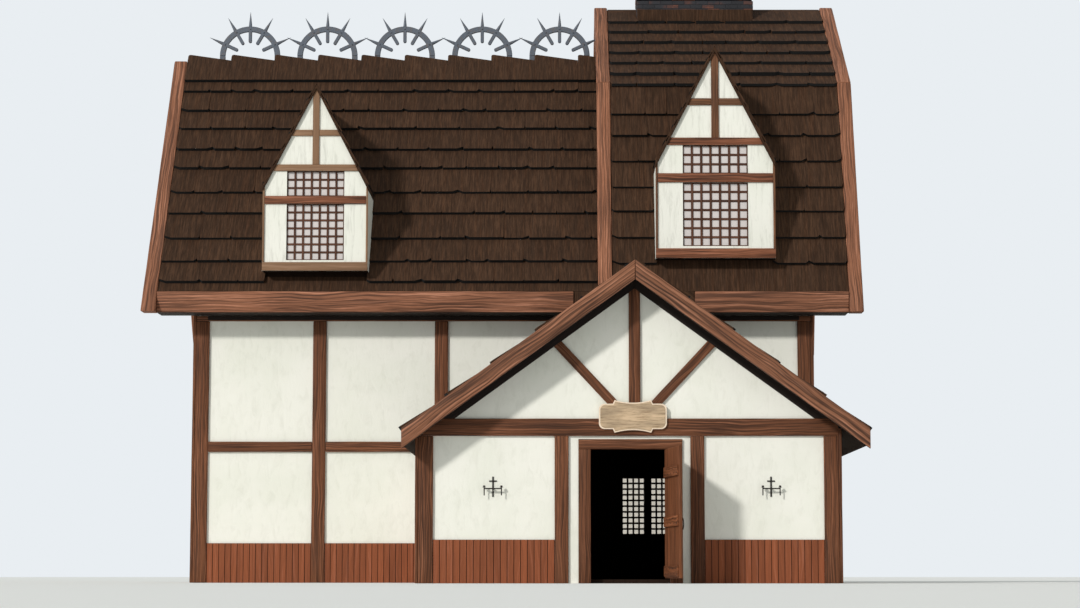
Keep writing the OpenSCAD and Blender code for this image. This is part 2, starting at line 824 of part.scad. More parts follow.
module left_roof_slope(rear) {
    x0 = -verge_x + verge_w;
    difference() {
        if (rear) {
            slope(left_line[1], left_line[2], left_inside[2], left_inside[1], x0, block_x);
        } else {
            slope(left_line[0], left_line[1], left_inside[1], left_inside[0], x0, block_x);
        }
        block_overhang(block_x + 1);
    }
}

// Room for the right block's roof and verge where they stand out over the left wing
module block_overhang(x1) {
    outer = [for (i = [1 : 3]) moved_corner(block_line[i - 1], block_line[i], block_line[i + 1], verge_up)];
    inner = inside(block_line, verge_down + joint_gap, soffit_z - 10);
    band = concat([point_at(block_line[0], block_line[1], verge_up, soffit_z - 10)], outer,
                  [point_at(block_line[3], block_line[4], verge_up, soffit_z - 10)],
                  [for (i = [4 : -1 : 0]) inner[i]]);
    along_x(band, inner_verge_x - joint_gap, x1);
}

module left_roof_front() {
    color(shingle)
    difference() {
        left_roof_slope(false);
        dormer_hollow(left_dormer, eave_y, 0);
    }
}

module left_roof_rear() {
    color(shingle) left_roof_slope(true);
}

module block_slope(i) {
    color(shingle)
    difference() {
        slope(block_line[i], block_line[i + 1], block_inside[i + 1], block_inside[i],
              inner_verge_x + verge_w, verge_x - verge_w);
        if (i < 2) dormer_hollow(right_dormer, eave_y, 0);
        if (i == 1 || i == 2) chimney_body(0);
    }
}

module block_roof_front_lower() { block_slope(0); }
module block_roof_front_upper() { block_slope(1); }
module block_roof_rear_upper() { block_slope(2); }
module block_roof_rear_lower() { block_slope(3); }

// Wing roof

module wing_slope_plate(x0, x1) {
    color(shingle)
    difference() {
        along_y([[x0, wing_top(x0)], [x1, wing_top(x1)], [x1, wing_under(x1)], [x0, wing_under(x0)]],
                wing_barge_y + barge_t, front_y);
        block([x0 - 1, eave_y + eave_board_t, attic_under_z], [x1 + 1, front_y + 1, roof_z]);
    }
}

module wing_roof_left() { wing_slope_plate(wing_roof_left_x, wing_ridge_x); }
module wing_roof_right() { wing_slope_plate(wing_ridge_x, wing_roof_right_x); }

// Boards along the wing's gable, cut plumb at both ends
module wing_barge_boards() {
    up = barge_up / cos(wing_slope);
    down = (barge_h - barge_up) / cos(wing_slope);
    color(timber)
    for (end = [[wing_roof_left_x, wing_ridge_x - joint_gap / 2], [wing_ridge_x + joint_gap / 2, wing_roof_right_x]]) {
        along_y([[end[0], wing_top(end[0]) - down], [end[1], wing_top(end[1]) - down],
                 [end[1], wing_top(end[1]) + up], [end[0], wing_top(end[0]) + up]],
                wing_barge_y, wing_barge_y + barge_t);
    }
}

// Eaves

module eave_run(x0, x1, wall_y, front) {
    turn = front ? 1 : -1;
    edge = wall_y - turn * eave_out;
    y_in = edge + turn * eave_board_t;
    block([x0, min(edge, y_in), soffit_z], [x1, max(edge, y_in), roof_z]);
    y_wall = wall_y - turn * (timber_t + joint_gap);
    block([x0, min(y_in, y_wall) + (front ? joint_gap : 0), soffit_z],
          [x1, max(y_in, y_wall) - (front ? 0 : joint_gap), soffit_z + soffit_t]);
}

module eaves() {
    x0 = -verge_x + verge_w;
    x1 = verge_x - verge_w;
    color(timber)
    difference() {
        union() {
            eave_run(x0, x1, front_y, true);
            eave_run(x0, block_x - timber_t - joint_gap, left_rear_y, false);
            eave_run(inner_verge_x + verge_w, x1, rear_y, false);
        }
        block([fascia_left_x, eave_y - 1, soffit_z - 1], [fascia_right_x, eave_y + eave_board_t, roof_z + 1]);
        wing_mass(eave_y - 1, front_y + 1, joint_gap);
        block_overhang(inner_verge_x + verge_w + joint_gap);
    }
}

// Shingled board that closes the eaves between the main roof and the wing's roof
module valley_apron() {
    l = fascia_left_x + joint_gap;
    r = fascia_right_x - joint_gap;
    color(shingle)
    difference() {
        along_y([[l, wing_top(l) + 2 * joint_gap], [wing_ridge_x, wing_ridge_z + 2 * joint_gap],
                 [r, wing_top(r) + 2 * joint_gap], [r, roof_z], [l, roof_z]],
                eave_y + shingle_set - apron_t, eave_y + shingle_set);
        block([inner_verge_x - joint_gap, eave_y, 0], [inner_verge_x + verge_w + joint_gap, front_y, roof_z + 1]);
    }
}

// Verge timbers: straight lengths, mitred where they meet

function verge_lengths(line) =
    let (last = len(line) - 1,
         top = concat([point_at(line[0], line[1], verge_up, soffit_z)],
                      [for (i = [1 : last - 1]) moved_corner(line[i - 1], line[i], line[i + 1], verge_up)],
                      [point_at(line[last - 1], line[last], verge_up, soffit_z)]),
         low = inside(line, verge_down, soffit_z))
    [for (i = [0 : last - 1])
        let (step = joint_gap / 2 * unit(line[i + 1] - line[i]),
             a = i == 0 ? [0, 0] : step, b = i == last - 1 ? [0, 0] : step)
        [top[i] + a, top[i + 1] - b, low[i + 1] - b, low[i] + a]];

module verge(line, x0) {
    for (length = verge_lengths(line)) {
        along_x(length, x0, x0 + verge_w);
    }
}

module verge_timbers() {
    color(timber) {
        verge(left_line, -verge_x);
        difference() {
            verge(block_line, inner_verge_x);
            wing_mass(eave_y - 2 * verge_w, front_y + joint_gap, joint_gap);
        }
        verge(block_line, verge_x - verge_w);
    }
}

// Comb of boards along the left ridge: each board's top slants down to its right end
module ridge_comb() {
    x0 = -verge_x + verge_w;
    x1 = inner_verge_x;
    count = ceil((x1 - x0) / comb_w);
    color(shingle) {
        translate([0, left_mid_y, left_ridge_z]) rotate([left_slope, 0, 0])
        translate([0, 0, joint_gap]) linear_extrude(comb_t)
        intersection() {
            polygon(concat([[x0, -comb_down]],
                           [for (i = [0 : count - 1]) each [[x0 + i * comb_w, comb_up + comb_tooth],
                                                           [x0 + (i + 1) * comb_w, comb_up]]],
                           [[x0 + count * comb_w, -comb_down]]));
            bar([x0, -comb_down - 1], [x1, comb_up + comb_tooth + 1]);
        }
        translate([0, left_mid_y, left_ridge_z]) mirror([0, 1, 0]) rotate([left_slope, 0, 0])
            translate([0, 0, joint_gap]) linear_extrude(comb_t) bar([x0, -comb_down], [x1, -1]);
    }
}

// Iron cresting: half wheels with spikes on a rail
module spike(a) {
    rotate(a) polygon([[-spike_w / 4, spike_foot_r], [spike_w / 4, spike_foot_r], [spike_w / 2, wheel_r],
                       [0, spike_r], [-spike_w / 2, wheel_r]]);
}

module ridge_cresting() {
    rail_x0 = wheel_xs[wheel_count - 1] - wheel_r;
    rail_x1 = wheel_xs[0] + wheel_r;
    color(iron)
    difference() {
        translate([0, left_mid_y + wheel_back + iron_t / 2, left_ridge_z]) rotate([90, 0, 0]) linear_extrude(iron_t)
        difference() {
            wheels(rail_x0, rail_x1);
            bar([inner_verge_x - joint_gap, -comb_down], [end_x, 2 * spike_r]);
        }
        translate([0, left_mid_y, left_ridge_z]) mirror([0, 1, 0]) rotate([left_slope, 0, 0])
            translate([-main_w, -left_d, -2 * comb_down]) cube([2 * main_w, left_d, 2 * comb_down + comb_t + 2 * joint_gap]);
    }
}

module wheels(rail_x0, rail_x1) {
    bar([rail_x0, wheel_up - 60], [rail_x1, wheel_up]);
    for (x = wheel_xs) {
        bar([x - 40, -2 * comb_down], [x + 40, wheel_up]);
        translate([x, wheel_up]) {
            intersection() {
                difference() {
                    circle(r = wheel_r, $fn = 96);
                    circle(r = wheel_r - rim_w, $fn = 96);
                }
                bar([-wheel_r, 0], [wheel_r, wheel_r]);
            }
            for (a = [-65, -30, 0, 30, 65]) spike(a);
        }
    }
}

// Dormers

module dormer_outline(down) {
    polygon([[-dormer_w / 2, 0], [dormer_w / 2, 0], [dormer_w / 2, dormer_side_h - down],
             [0, dormer_side_h + dormer_rise - down], [-dormer_w / 2, dormer_side_h - down]]);
}

module dormer_windows(grow = 0) {
    bar([-dormer_window_w / 2, dormer_low_z], [dormer_window_w / 2, dormer_low_z + dormer_low_h], grow);
    bar([-dormer_window_w / 2, dormer_top_z], [dormer_window_w / 2, dormer_top_z + dormer_top_h], grow);
}

module at_dormer(d) {
    translate([d.x, 0, d.y]) scale([d.z, 1, d.z]) children();
}

module dormer_walls(d, line, back_y) {
    color(plaster)
    difference() {
        at_dormer(d) on_rear(eave_y, back_y - eave_y) dormer_outline(dormer_roof_down);
        dormer_hollow(d, eave_y + dormer_wall_t, back_y + 1);
        at_dormer(d) on_rear(eave_y - 1, dormer_wall_t + 2) dormer_windows();
        roof_mass(line, d.x - dormer_w, d.x + dormer_w);
    }
}

module dormer_roof(d, line, back_y) {
    difference() {
        at_dormer(d) on_rear(eave_y - dormer_out, back_y - eave_y + dormer_out)
        difference() {
            dormer_outline(0);
            translate([0, -dormer_roof_down])
                polygon([[-dormer_w, -1], [dormer_w, -1], [dormer_w, dormer_side_h - dormer_rise],
                         [0, dormer_side_h + dormer_rise], [-dormer_w, dormer_side_h - dormer_rise]]);
        }
        roof_mass(line, d.x - dormer_w, d.x + dormer_w);
    }
}

module dormer_trim(d) {
    half = dormer_w / 2;
    collar_z = dormer_top_z + dormer_top_h;
    at_dormer(d)
    on_front(eave_y, dormer_timber_t)
    intersection() {
        dormer_outline(dormer_roof_down + 2 * joint_gap);
        union() {
            bar([-half, 0], [half, dormer_foot_h]);
            for (side = [0, 1]) {
                mirror([side, 0]) bar([half - dormer_side_w, dormer_foot_h + joint_gap], [half, dormer_side_h]);
                mirror([side, 0]) bar([dormer_post_w / 2 + joint_gap, dormer_rail_z], [half, dormer_rail_z + dormer_rail_h]);
            }
            bar([-half + dormer_side_w + joint_gap, dormer_low_z + dormer_low_h],
                [half - dormer_side_w - joint_gap, dormer_top_z]);
            bar([-half, collar_z], [half, collar_z + dormer_collar_h]);
            bar([-dormer_post_w / 2, collar_z + dormer_collar_h + joint_gap],
                [dormer_post_w / 2, dormer_side_h + dormer_rise]);
        }
    }
}

module left_dormer_walls() { dormer_walls(left_dormer, left_line, left_mid_y); }
module right_dormer_walls() { dormer_walls(right_dormer, block_line, 0); }

module dormer_roofs() {
    color(shingle) {
        dormer_roof(left_dormer, left_line, left_mid_y);
        dormer_roof(right_dormer, block_line, 0);
    }
}

module dormer_trims() {
    color(timber) {
        dormer_trim(left_dormer);
        dormer_trim(right_dormer);
    }
}

module window_panes() {
    color(pane) {
        for (d = [left_dormer, right_dormer]) {
            at_dormer(d) on_rear(eave_y + (dormer_wall_t - pane_t) / 2, pane_t) dormer_windows();
        }
        on_rear(rear_y - (wall_t + pane_t) / 2, pane_t) rear_lights();
    }
}

// Blank plaque over the door: waisted top and bottom, rounded corners
module sign_plaque() {
    peak_x = 285;
    peak_z = 262;
    corner_r = 90;
    waist_r = 1000;
    waist_z = 216;
    x = plaque_w / 2 - corner_r;
    z = plaque_h / 2 - corner_r;
    color(plaque)
    translate([wing_x + plaque_at, wing_face_y, tie_z + 305]) rotate([90, 0, 0]) linear_extrude(plaque_t)
    difference() {
        union() {
            polygon([for (q = [[1, 1], [-1, 1], [-1, -1], [1, -1]]) each
                     let (run = [[plaque_w / 2, z], [x, plaque_h / 2], [peak_x + 30, plaque_h / 2], [peak_x, peak_z]])
                     [for (i = [0 : 3]) let (k = q.x * q.y > 0 ? i : 3 - i) [q.x * run[k].x, q.y * run[k].y]]]);
            for (sx = [-1, 1], sz = [-1, 1]) {
                translate([sx * x, sz * z]) circle(r = corner_r, $fn = 48);
            }
        }
        for (side = [-1, 1]) {
            translate([0, side * (waist_z + waist_r)]) circle(r = waist_r, $fn = 96);
        }
    }
}

// Iron cross with two candle cups, on the plaster each side of the doorway
module sconce(x) {
    arm_z = sconce_h * 0.4;
    translate([x, wing_front_y, sconce_z]) {
        block([-12, -12, 0], [12, 0, sconce_h]);
        block([-60, -12, sconce_h - 80], [60, 0, sconce_h - 60]);
        block([-12, -90, arm_z - 10], [12, -12, arm_z + 10]);
        block([-sconce_arm, -98, arm_z - 10], [sconce_arm, -82, arm_z + 10]);
        for (side = [-1, 1]) {
            translate([side * sconce_arm, -90, 0]) {
                translate([0, 0, 20]) cylinder(h = 130, r = 9, $fn = 24);
                translate([0, 0, 145]) cylinder(h = 8, r = 28, $fn = 32);
                translate([0, 0, 150]) cylinder(h = 25, r = 17, $fn = 32);
            }
        }
    }
}

module wall_sconces() {
    color(iron) {
        sconce(wing_x - sconce_left_at);
        sconce(wing_x + sconce_right_at);
    }
}

// Chimney

module chimney_body(grow) {
    z0 = block_ridge_z - 1100;
    translate([chimney_x, 0, 0]) {
        block([-chimney_w / 2 - grow, -chimney_d / 2 - grow, z0], [chimney_w / 2 + grow, chimney_d / 2 + grow, block_ridge_z + chimney_up]);
    }
}

module chimney() {
    top_z = block_ridge_z + chimney_up;
    color(brick)
    difference() {
        union() {
            chimney_body(0);
            for (i = [0, 1]) {
                block([chimney_x - chimney_w / 2 - 50 * (i + 1), -chimney_d / 2 - 50 * (i + 1), top_z - 260 + i * 90],
                      [chimney_x + chimney_w / 2 + 50 * (i + 1), chimney_d / 2 + 50 * (i + 1), top_z - 80 + i * 80]);
            }
        }
        difference() {
            block([chimney_x - chimney_w, -chimney_d, block_ridge_z + 70], [chimney_x + chimney_w, chimney_d, block_ridge_z + 140]);
            block([chimney_x - chimney_w / 2 + chimney_recess, -chimney_d / 2 + chimney_recess, block_ridge_z],
                  [chimney_x + chimney_w / 2 - chimney_recess, chimney_d / 2 - chimney_recess, block_ridge_z + 200]);
        }
        for (side = [-1, 1]) {
            block([chimney_x + side * (flue_w / 2 + 60) - flue_w / 2, -flue_d / 2, block_ridge_z - 700],
                  [chimney_x + side * (flue_w / 2 + 60) + flue_w / 2, flue_d / 2, top_z + 1]);
        }
    }
}

ground_floor();
left_attic_floor();
block_attic_floor();
front_wall();
left_end_wall();
right_end_wall();
rear_wall_left();
rear_wall_right();
inner_corner_wall();
cross_gable_wall();
wing_front_walls();
wing_gable_wall();
wing_side_walls();
front_timbers();
end_timbers();
rear_timbers();
wing_timbers();
wainscot();
door_frame();
hinge_pins();
door_leaf();
strap_hinges();
door_ring();
left_roof_front();
left_roof_rear();
block_roof_front_lower();
block_roof_front_upper();
block_roof_rear_lower();
block_roof_rear_upper();
wing_roof_left();
wing_roof_right();
eaves();
valley_apron();
verge_timbers();
wing_barge_boards();
ridge_comb();
ridge_cresting();
left_dormer_walls();
right_dormer_walls();
dormer_roofs();
dormer_trims();
window_panes();
sign_plaque();
wall_sconces();
chimney();
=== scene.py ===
"""Looks of the half timbered house, built round its CAD frame.

The timbers get worn edges and grain, the roofs their shingles, the walls plaster and boarding, the windows
their lattice, the chimney its bricks. Metres, in the frame's own axes.
"""

import json
import math
import random

import bmesh
import bpy
from mathutils import Matrix, Vector, noise


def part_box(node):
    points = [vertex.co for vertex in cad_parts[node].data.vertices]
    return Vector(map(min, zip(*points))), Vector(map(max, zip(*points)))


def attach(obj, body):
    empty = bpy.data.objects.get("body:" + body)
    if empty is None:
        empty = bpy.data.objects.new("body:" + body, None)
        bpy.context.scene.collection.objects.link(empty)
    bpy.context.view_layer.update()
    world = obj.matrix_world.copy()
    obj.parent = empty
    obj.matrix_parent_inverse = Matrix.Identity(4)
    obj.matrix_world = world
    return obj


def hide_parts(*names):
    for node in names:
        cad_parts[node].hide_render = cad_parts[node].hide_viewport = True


bl_info = {
    "name": "Half timbered house",
    "version": (1, 0, 0),
    "blender": (4, 5, 0),
    "location": "View3D > Sidebar > House",
    "description": "Shingles, timber, plaster, lattice windows, bricks and stage of a half timbered house",
    "category": "Object",
}

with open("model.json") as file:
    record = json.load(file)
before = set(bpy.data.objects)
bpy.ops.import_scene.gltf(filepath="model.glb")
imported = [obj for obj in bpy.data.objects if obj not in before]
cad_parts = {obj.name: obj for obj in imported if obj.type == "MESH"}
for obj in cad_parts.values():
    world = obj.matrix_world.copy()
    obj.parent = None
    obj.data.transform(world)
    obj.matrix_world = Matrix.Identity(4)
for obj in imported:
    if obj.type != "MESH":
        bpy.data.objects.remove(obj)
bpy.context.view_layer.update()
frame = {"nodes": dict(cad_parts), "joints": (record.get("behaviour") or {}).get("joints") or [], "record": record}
NODES = frame["nodes"]
ROOMS = [o["box_m"] for o in frame["record"]["physics"]["openings"]]
DOOR = frame["joints"][0]
RIGHT, BACK, FRONT, UP = (1, 0, 0), (0, 1, 0), (0, -1, 0), (0, 0, 1)
GRAIN, TONE = "grain", "tone"
# Faces that meet at more than this stay crisp, and coordinates nearer than the second are the same
SHARP = math.radians(35)
TINY = 0.001

# Feet of the dormers' reddish rails, above the ground
RAIL_FEET = (6.517, 5.574, 6.896, 7.553)
# The gable's rafters: how far they stand out of the wall, how far they show under the boards, their lower end
RAFTER_PROUD = 0.058
RAFTER_DROP = 0.060
RAFTER_END = 2.578
# The panelling's backing, dark as painted shade in the grooves, lies this far behind its face, and panels left of
# this x face left
BACKING = 0.014
SIDE_SPLIT = 3.0
# Each dormer's middle, its foot and its scale; half width, cheek and gable of the front at scale 1
DORMERS = {"left": (-3.249, 5.354, 0.88), "right": (3.678, 5.574, 1.0)}
DORMER_FRONT = (1.0375, 1.7, 2.026)
# The dormers' thinner courses: their spacing, their butt and how far they are let into the boards
DORMER_COURSE = 0.333
DORMER_BUTT = 0.034
DORMER_SINK = 0.012
# Where each course begins, up its slope from the eave
LEFT_COURSES = (0.0, 0.178, 0.634, 1.157, 1.74, 2.23, 2.81, 3.262, 3.777, 4.223, 4.71)
LOWER_COURSES = (0.0, 0.5175, 1.015, 1.533, 2.01, 2.528, 3.045, 3.478)
UPPER_COURSES = (-0.08, 0.32, 0.81, 1.27, 1.75, 2.24, 2.72)
# Butt of the course behind the eaves board's top edge, and share of the butt of one that starts below it
FOOT_BUTT = 0.020
LOW_BUTT = 0.55
# A shingle's thickness at its head, how far it is let in, and how far it reaches under the next course
SHINGLE_HEAD = 0.007
SHINGLE_SINK = 0.004
LAP = 0.15
# Widths and heights of the notches, as shares of the widest
NOTCHES = ((1.0, 0.45), (0.17, 0.62), (0.45, 0.40), (0.12, 0.30))
# The last course starts at least this far below the ridge, whose boards are this long, wide and thick
LAST_COURSE = 0.12
CAP_LONG, CAP_WIDE, CAP_THICK = 0.9, 0.2, 0.020
# The left roof runs on under the right block's verge, this wide, from this height above the eave
VERGE_WIDE = 0.25
VERGE_CLEAR = 0.95
# The front wing's courses end at the eaves above this height
EAVES_TOP = 4.55
# How far courses end before the roof's end, and how far they run in round what stands on the roof
END_GAP = 0.004
TUCK = 0.03
# The chimney's corbels stand out this far, and the boards at its foot end this far below the ridge
CORBEL = 0.1
SKIRT_DROP = 0.105
FLOOR_RADIUS = 1500.0


# Colours and small helpers


def linear(channel):
    """One sRGB channel, 0 to 1, as linear light."""
    return channel / 12.92 if channel <= 0.04045 else ((channel + 0.055) / 1.055) ** 2.4


def srgb(code):
    """An sRGB hex colour as linear red, green, blue and alpha."""
    code = code.lstrip("#")
    return tuple(linear(int(code[i : i + 2], 16) / 255) for i in (0, 2, 4)) + (1.0,)


def colour(name, code, words):
    """A colour property with an sRGB hex default."""
    return bpy.props.FloatVectorProperty(
        name=name, description=words, subtype="COLOR", size=4, min=0, max=1, default=srgb(code)
    )


def number(name, value, words, **more):
    """A property for one number."""
    return bpy.props.FloatProperty(name=name, description=words, default=value, **more)


def length(name, value, words):
    """A length property in metres."""
    return number(name, value, words, min=0, unit="LENGTH", precision=4)


def angle(name, degrees, words):
    """An angle property, from degrees."""
    return number(name, math.radians(degrees), words, subtype="ANGLE")


def placed(spot, across, up, out):
    """The matrix that turns X, Y and Z to three directions and moves the origin to a spot."""
    return Matrix.Translation(spot) @ Matrix((across, up, out)).transposed().to_4x4()


# Sizes and colours a user would change


class HouseColours(bpy.types.PropertyGroup):
    """The finishes of the house."""

    plaster: colour("Plaster", "#F1F0E7", "Lime plaster between the timbers")
    plaster_shade: colour("Plaster shade", "#E8E9DD", "Cooler patches in the plaster")
    timber: colour("Timber", "#70442B", "Stained posts, rails and braces")
    board: colour("Eaves and verges", "#8C5B42", "Paler timber of the eaves, verges and gable boards")
    left_board: colour("Left dormer boards", "#8A694F", "Smooth pale boards of the left dormer")
    right_board: colour("Right dormer boards", "#6F4931", "Boards of the right dormer")
    rail: colour("Dormer rails", "#835037", "Reddish rails under and over the dormer windows")
    gable: colour("Gable boards", "#82553D", "Boards along the front wing's gable")
    # Painted shade: near black for faces that look down, the gable's rafters, the wall plate and the panelling's
    # grooves
    shade: colour("Undersides", "#1E130D", "Boards that face down or lie deep under the eaves")
    door: colour("Door", "#784628", "Boards of the door")
    panelling: colour("Panelling", "#8A4C2E", "Upright boards at the foot of the walls")
    shingle: colour("Shingles", "#3A281C", "Weathered wood shingles")
    # The shingles' butts: darker end grain, made near black as painted shade under each course
    shingle_end: colour("Shingle butts", "#050403", "Damp end grain of the shingles")
    iron: colour("Iron", "#2E2B29", "Forged iron of the door and the wall irons")
    cresting: colour("Cresting", "#5C626B", "Grey iron on the ridge")
    glass: colour("Glass", "#D6CECB", "Small panes of the dormer windows")
    rear_glass: colour("Rear glass", "#F6EAD8", "Clear panes of the rear windows")
    lattice: colour("Lattice", "#553525", "Bars of the windows")
    plaque: colour("Plaque", "#BDA486", "Weathered board over the door")
    plaque_rim: colour("Plaque rim", "#EFDAC2", "Pale rim of the board over the door")
    brick: colour("Brick", "#6A4032", "Chimney bricks")
    soot: colour("Soot", "#26262A", "Sooted bricks and mortar")
    # Painted shade: dark boards inside the rooms, under the roofs and under the dormer walls
    inside: colour("Inner boarding", "#2A1E17", "Boarding inside the rooms, dark as painted shade")
    floor: colour("Stage floor", "#E9E9E7", "Plain floor under the house")
    backdrop: colour("Backdrop", "#E9EEF2", "Plain background behind the house")


class HouseRoof(bpy.types.PropertyGroup):
    """Sizes of the shingles, and of the boards and half wheels along the left ridge."""

    width_least: length("Narrowest shingle", 0.38, "Width of the narrowest shingle")
    width_most: length("Widest shingle", 0.74, "Width of the widest shingle")
    butt: length("Butt", 0.090, "Thickness of a shingle's lower edge")
    upper_butt: length("Upper butt", 0.088, "Thickness of the butts on the right block's upper slopes")
    notch: length("Notch", 0.110, "Width of the widest notch cut at a shingle's lower corner")
    gap: length("Gap", 0.002, "Gap between two shingles")
    wing_exposure: length("Wing course", 0.87, "Height of each course on the front wing")
    wing_butt: length("Wing butt", 0.075, "Thickness of the front wing's shingles at their lower edge")
    comb_width: length("Comb board", 0.81, "Width of each board along the left ridge")
    comb_up: length("Comb height", 0.085, "How far the comb stands above the ridge")
    comb_tooth: length("Comb tooth", 0.155, "How far a comb board's left end stands above its right end")
    comb_down: length("Comb depth", 0.49, "How far the comb reaches down the slope")
    comb_thick: length("Comb thickness", 0.055, "Thickness of the comb boards at the ridge")
    comb_butt: length("Comb butt", 0.135, "Thickness of the comb boards at their lower edge")
    comb_round: length("Comb corner", 0.050, "Radius of the comb boards' upper left corners")
    wheel_pitch: length("Wheel pitch", 1.451, "Distance between the half wheels on the ridge")
    wheel_first: length("First wheel", 0.977, "Where the rightmost half wheel stands")
    wheel_foot: length("Wheel foot", 9.81, "Height of the middle of the half wheels")
    wheel_radius: length("Wheel radius", 0.565, "Outer radius of the half wheels")
    wheel_rim: length("Wheel rim", 0.105, "Width of the rim of the half wheels")
    spike_inner: length("Spike start", 0.25, "How near the spikes come to the wheel's middle")
    spike_outer: length("Spike end", 0.838, "How far out the spikes reach")
    spike_wide: length("Spike width", 0.062, "Width of the spikes")


class HouseJoinery(bpy.types.PropertyGroup):
    """Sizes of the timbers, boards, lattice and bricks."""

    worn: length("Worn edge", 0.009, "Width of the worn edges of the timbers")
    hewn: length("Hewn hollows", 0.006, "Depth of the hollows left by hewing")
    panel_board: length("Panelling board", 0.105, "Width of the boards at the foot of the walls")
    groove: length("Groove", 0.0045, "Half the width of the groove between two boards")
    lattice_bar: length("Lattice bar", 0.040, "Width of the lattice bars")
    lattice_depth: length("Lattice depth", 0.060, "Depth of the lattice bars")
    leaf_width: length("Door leaf", 1.227, "Width of the door leaf")
    leaf_thick: length("Door boards", 0.045, "Thickness of the door's boards")
    leaf_foot: length("Door foot", 0.080, "Height of the foot of the door leaf")
    leaf_top: length("Door top", 2.088, "Height of the top of the door leaf")
    brick_long: length("Brick length", 0.215, "Length of a brick")
    brick_high: length("Brick height", 0.065, "Height of a brick")
    mortar: length("Mortar", 0.010, "Width of the mortar joints")


class HouseStage(bpy.types.PropertyGroup):
    """Camera, lamp and floor."""

    eye: bpy.props.FloatVectorProperty(
        name="Camera", description="Where the camera stands", subtype="XYZ", unit="LENGTH",
        default=(0.985, -45.63, 0.10),
    )
    tilt: angle("Tilt", 6.229, "How far the camera looks up")
    shift: bpy.props.FloatVectorProperty(
        name="Shift", description="Lens shift to the side and up", size=2, default=(-0.01852, 0.00827)
    )
    lens: number("Lens", 80.63, "Focal length on a 36 mm sensor", min=1)
    lamp: number("Lamp", 2.12, "Strength of the main lamp", min=0)
    lamp_high: angle("Lamp height", 27, "Angle of the lamp above the ground")
    lamp_left: angle("Lamp side", 38, "Angle of the lamp to the left of the front")
    sky: number("Sky", 0.53, "Strength of the even light", min=0)


# Materials

# Settings of a node that mixes two colours, and of one that multiplies them
BLEND = {"data_type": "RGBA", "blend_type": "MIX"}
MULTIPLY = {"data_type": "RGBA", "blend_type": "MULTIPLY"}


def add(tree, kind, inputs=None, out=0, stops=(), **settings):
    """Adds a shader node and returns one of its outputs.

    inputs maps a socket to a value or to the output that feeds it, and stops are a ramp's (position, colour).
    """
    node = tree.nodes.new("ShaderNode" + kind)
    for key, value in settings.items():
        setattr(node, key, value)
    for key, value in (inputs or {}).items():
        if isinstance(value, bpy.types.NodeSocket):
            tree.links.new(value, node.inputs[key])
        else:
            node.inputs[key].default_value = value
    if stops:
        band = node.color_ramp.elements
        band[0].position, band[0].color = stops[0]
        band[1].position, band[1].color = stops[-1]
        for position, tint in stops[1:-1]:
            band.new(position).color = tint
    return node.outputs[out] if len(node.outputs) else None


def grey(value):
    """An even grey."""
    return (value, value, value, 1.0)


def tinted(tint, value, hue=(1.0, 1.0, 1.0)):
    """A colour made darker or lighter, each channel by a share of its own, kept between 0 and 1."""
    return tuple(min(1.0, c * share * value) for c, share in zip(tint, hue)) + (1.0,)


def begin(name, grain=False):
    """A new material, its tree, and what its pattern follows: each part's grain or Object coordinates."""
    coat = bpy.data.materials.new(name)
    coat.use_nodes = True
    tree = coat.node_tree
    tree.nodes.clear()
    place = add(tree, "UVMap", uv_map=GRAIN) if grain else add(tree, "TexCoord", out="Object")
    return coat, tree, place


def close(coat, inputs, height=None, depth=0.002):
    """Ends a material: its shader with the given sockets, bump from a height, and the output."""
    tree = coat.node_tree
    if height is not None:
        inputs["Normal"] = add(tree, "Bump", {"Height": height, "Distance": depth, "Strength": 0.8})
    add(tree, "OutputMaterial", {"Surface": add(tree, "BsdfPrincipled", inputs)})
    return coat


def varied(tree, tint, pattern, low, high):
    """A colour whose brightness runs from low to high as a pattern does from 0 to 1."""
    value = add(tree, "MapRange", {"Value": pattern, "To Min": low, "To Max": high})
    return add(tree, "HueSaturation", {"Color": tint, "Value": value})


def toned(tree, tint, low, high):
    """A colour made darker or lighter by each board's own tone."""
    return varied(tree, tint, add(tree, "Attribute", out="Fac", attribute_name=TONE), low, high)


def stretched(tree, vector, scale, **inputs):
    """Noise with its own cells per metre on each axis, of which the first is along the grain."""
    place = add(tree, "Mapping", {"Vector": vector, "Scale": (*scale, 1.0)[:3]})
    return add(tree, "TexNoise", {"Vector": place, "Scale": 1.0, **inputs})


def summed(tree, total, *parts):
    """A pattern or number with the shares of other patterns added to it, each (pattern, share)."""
    for pattern, share in parts:
        total = add(tree, "Math", {0: pattern, 1: share, 2: total}, operation="MULTIPLY_ADD")
    return total


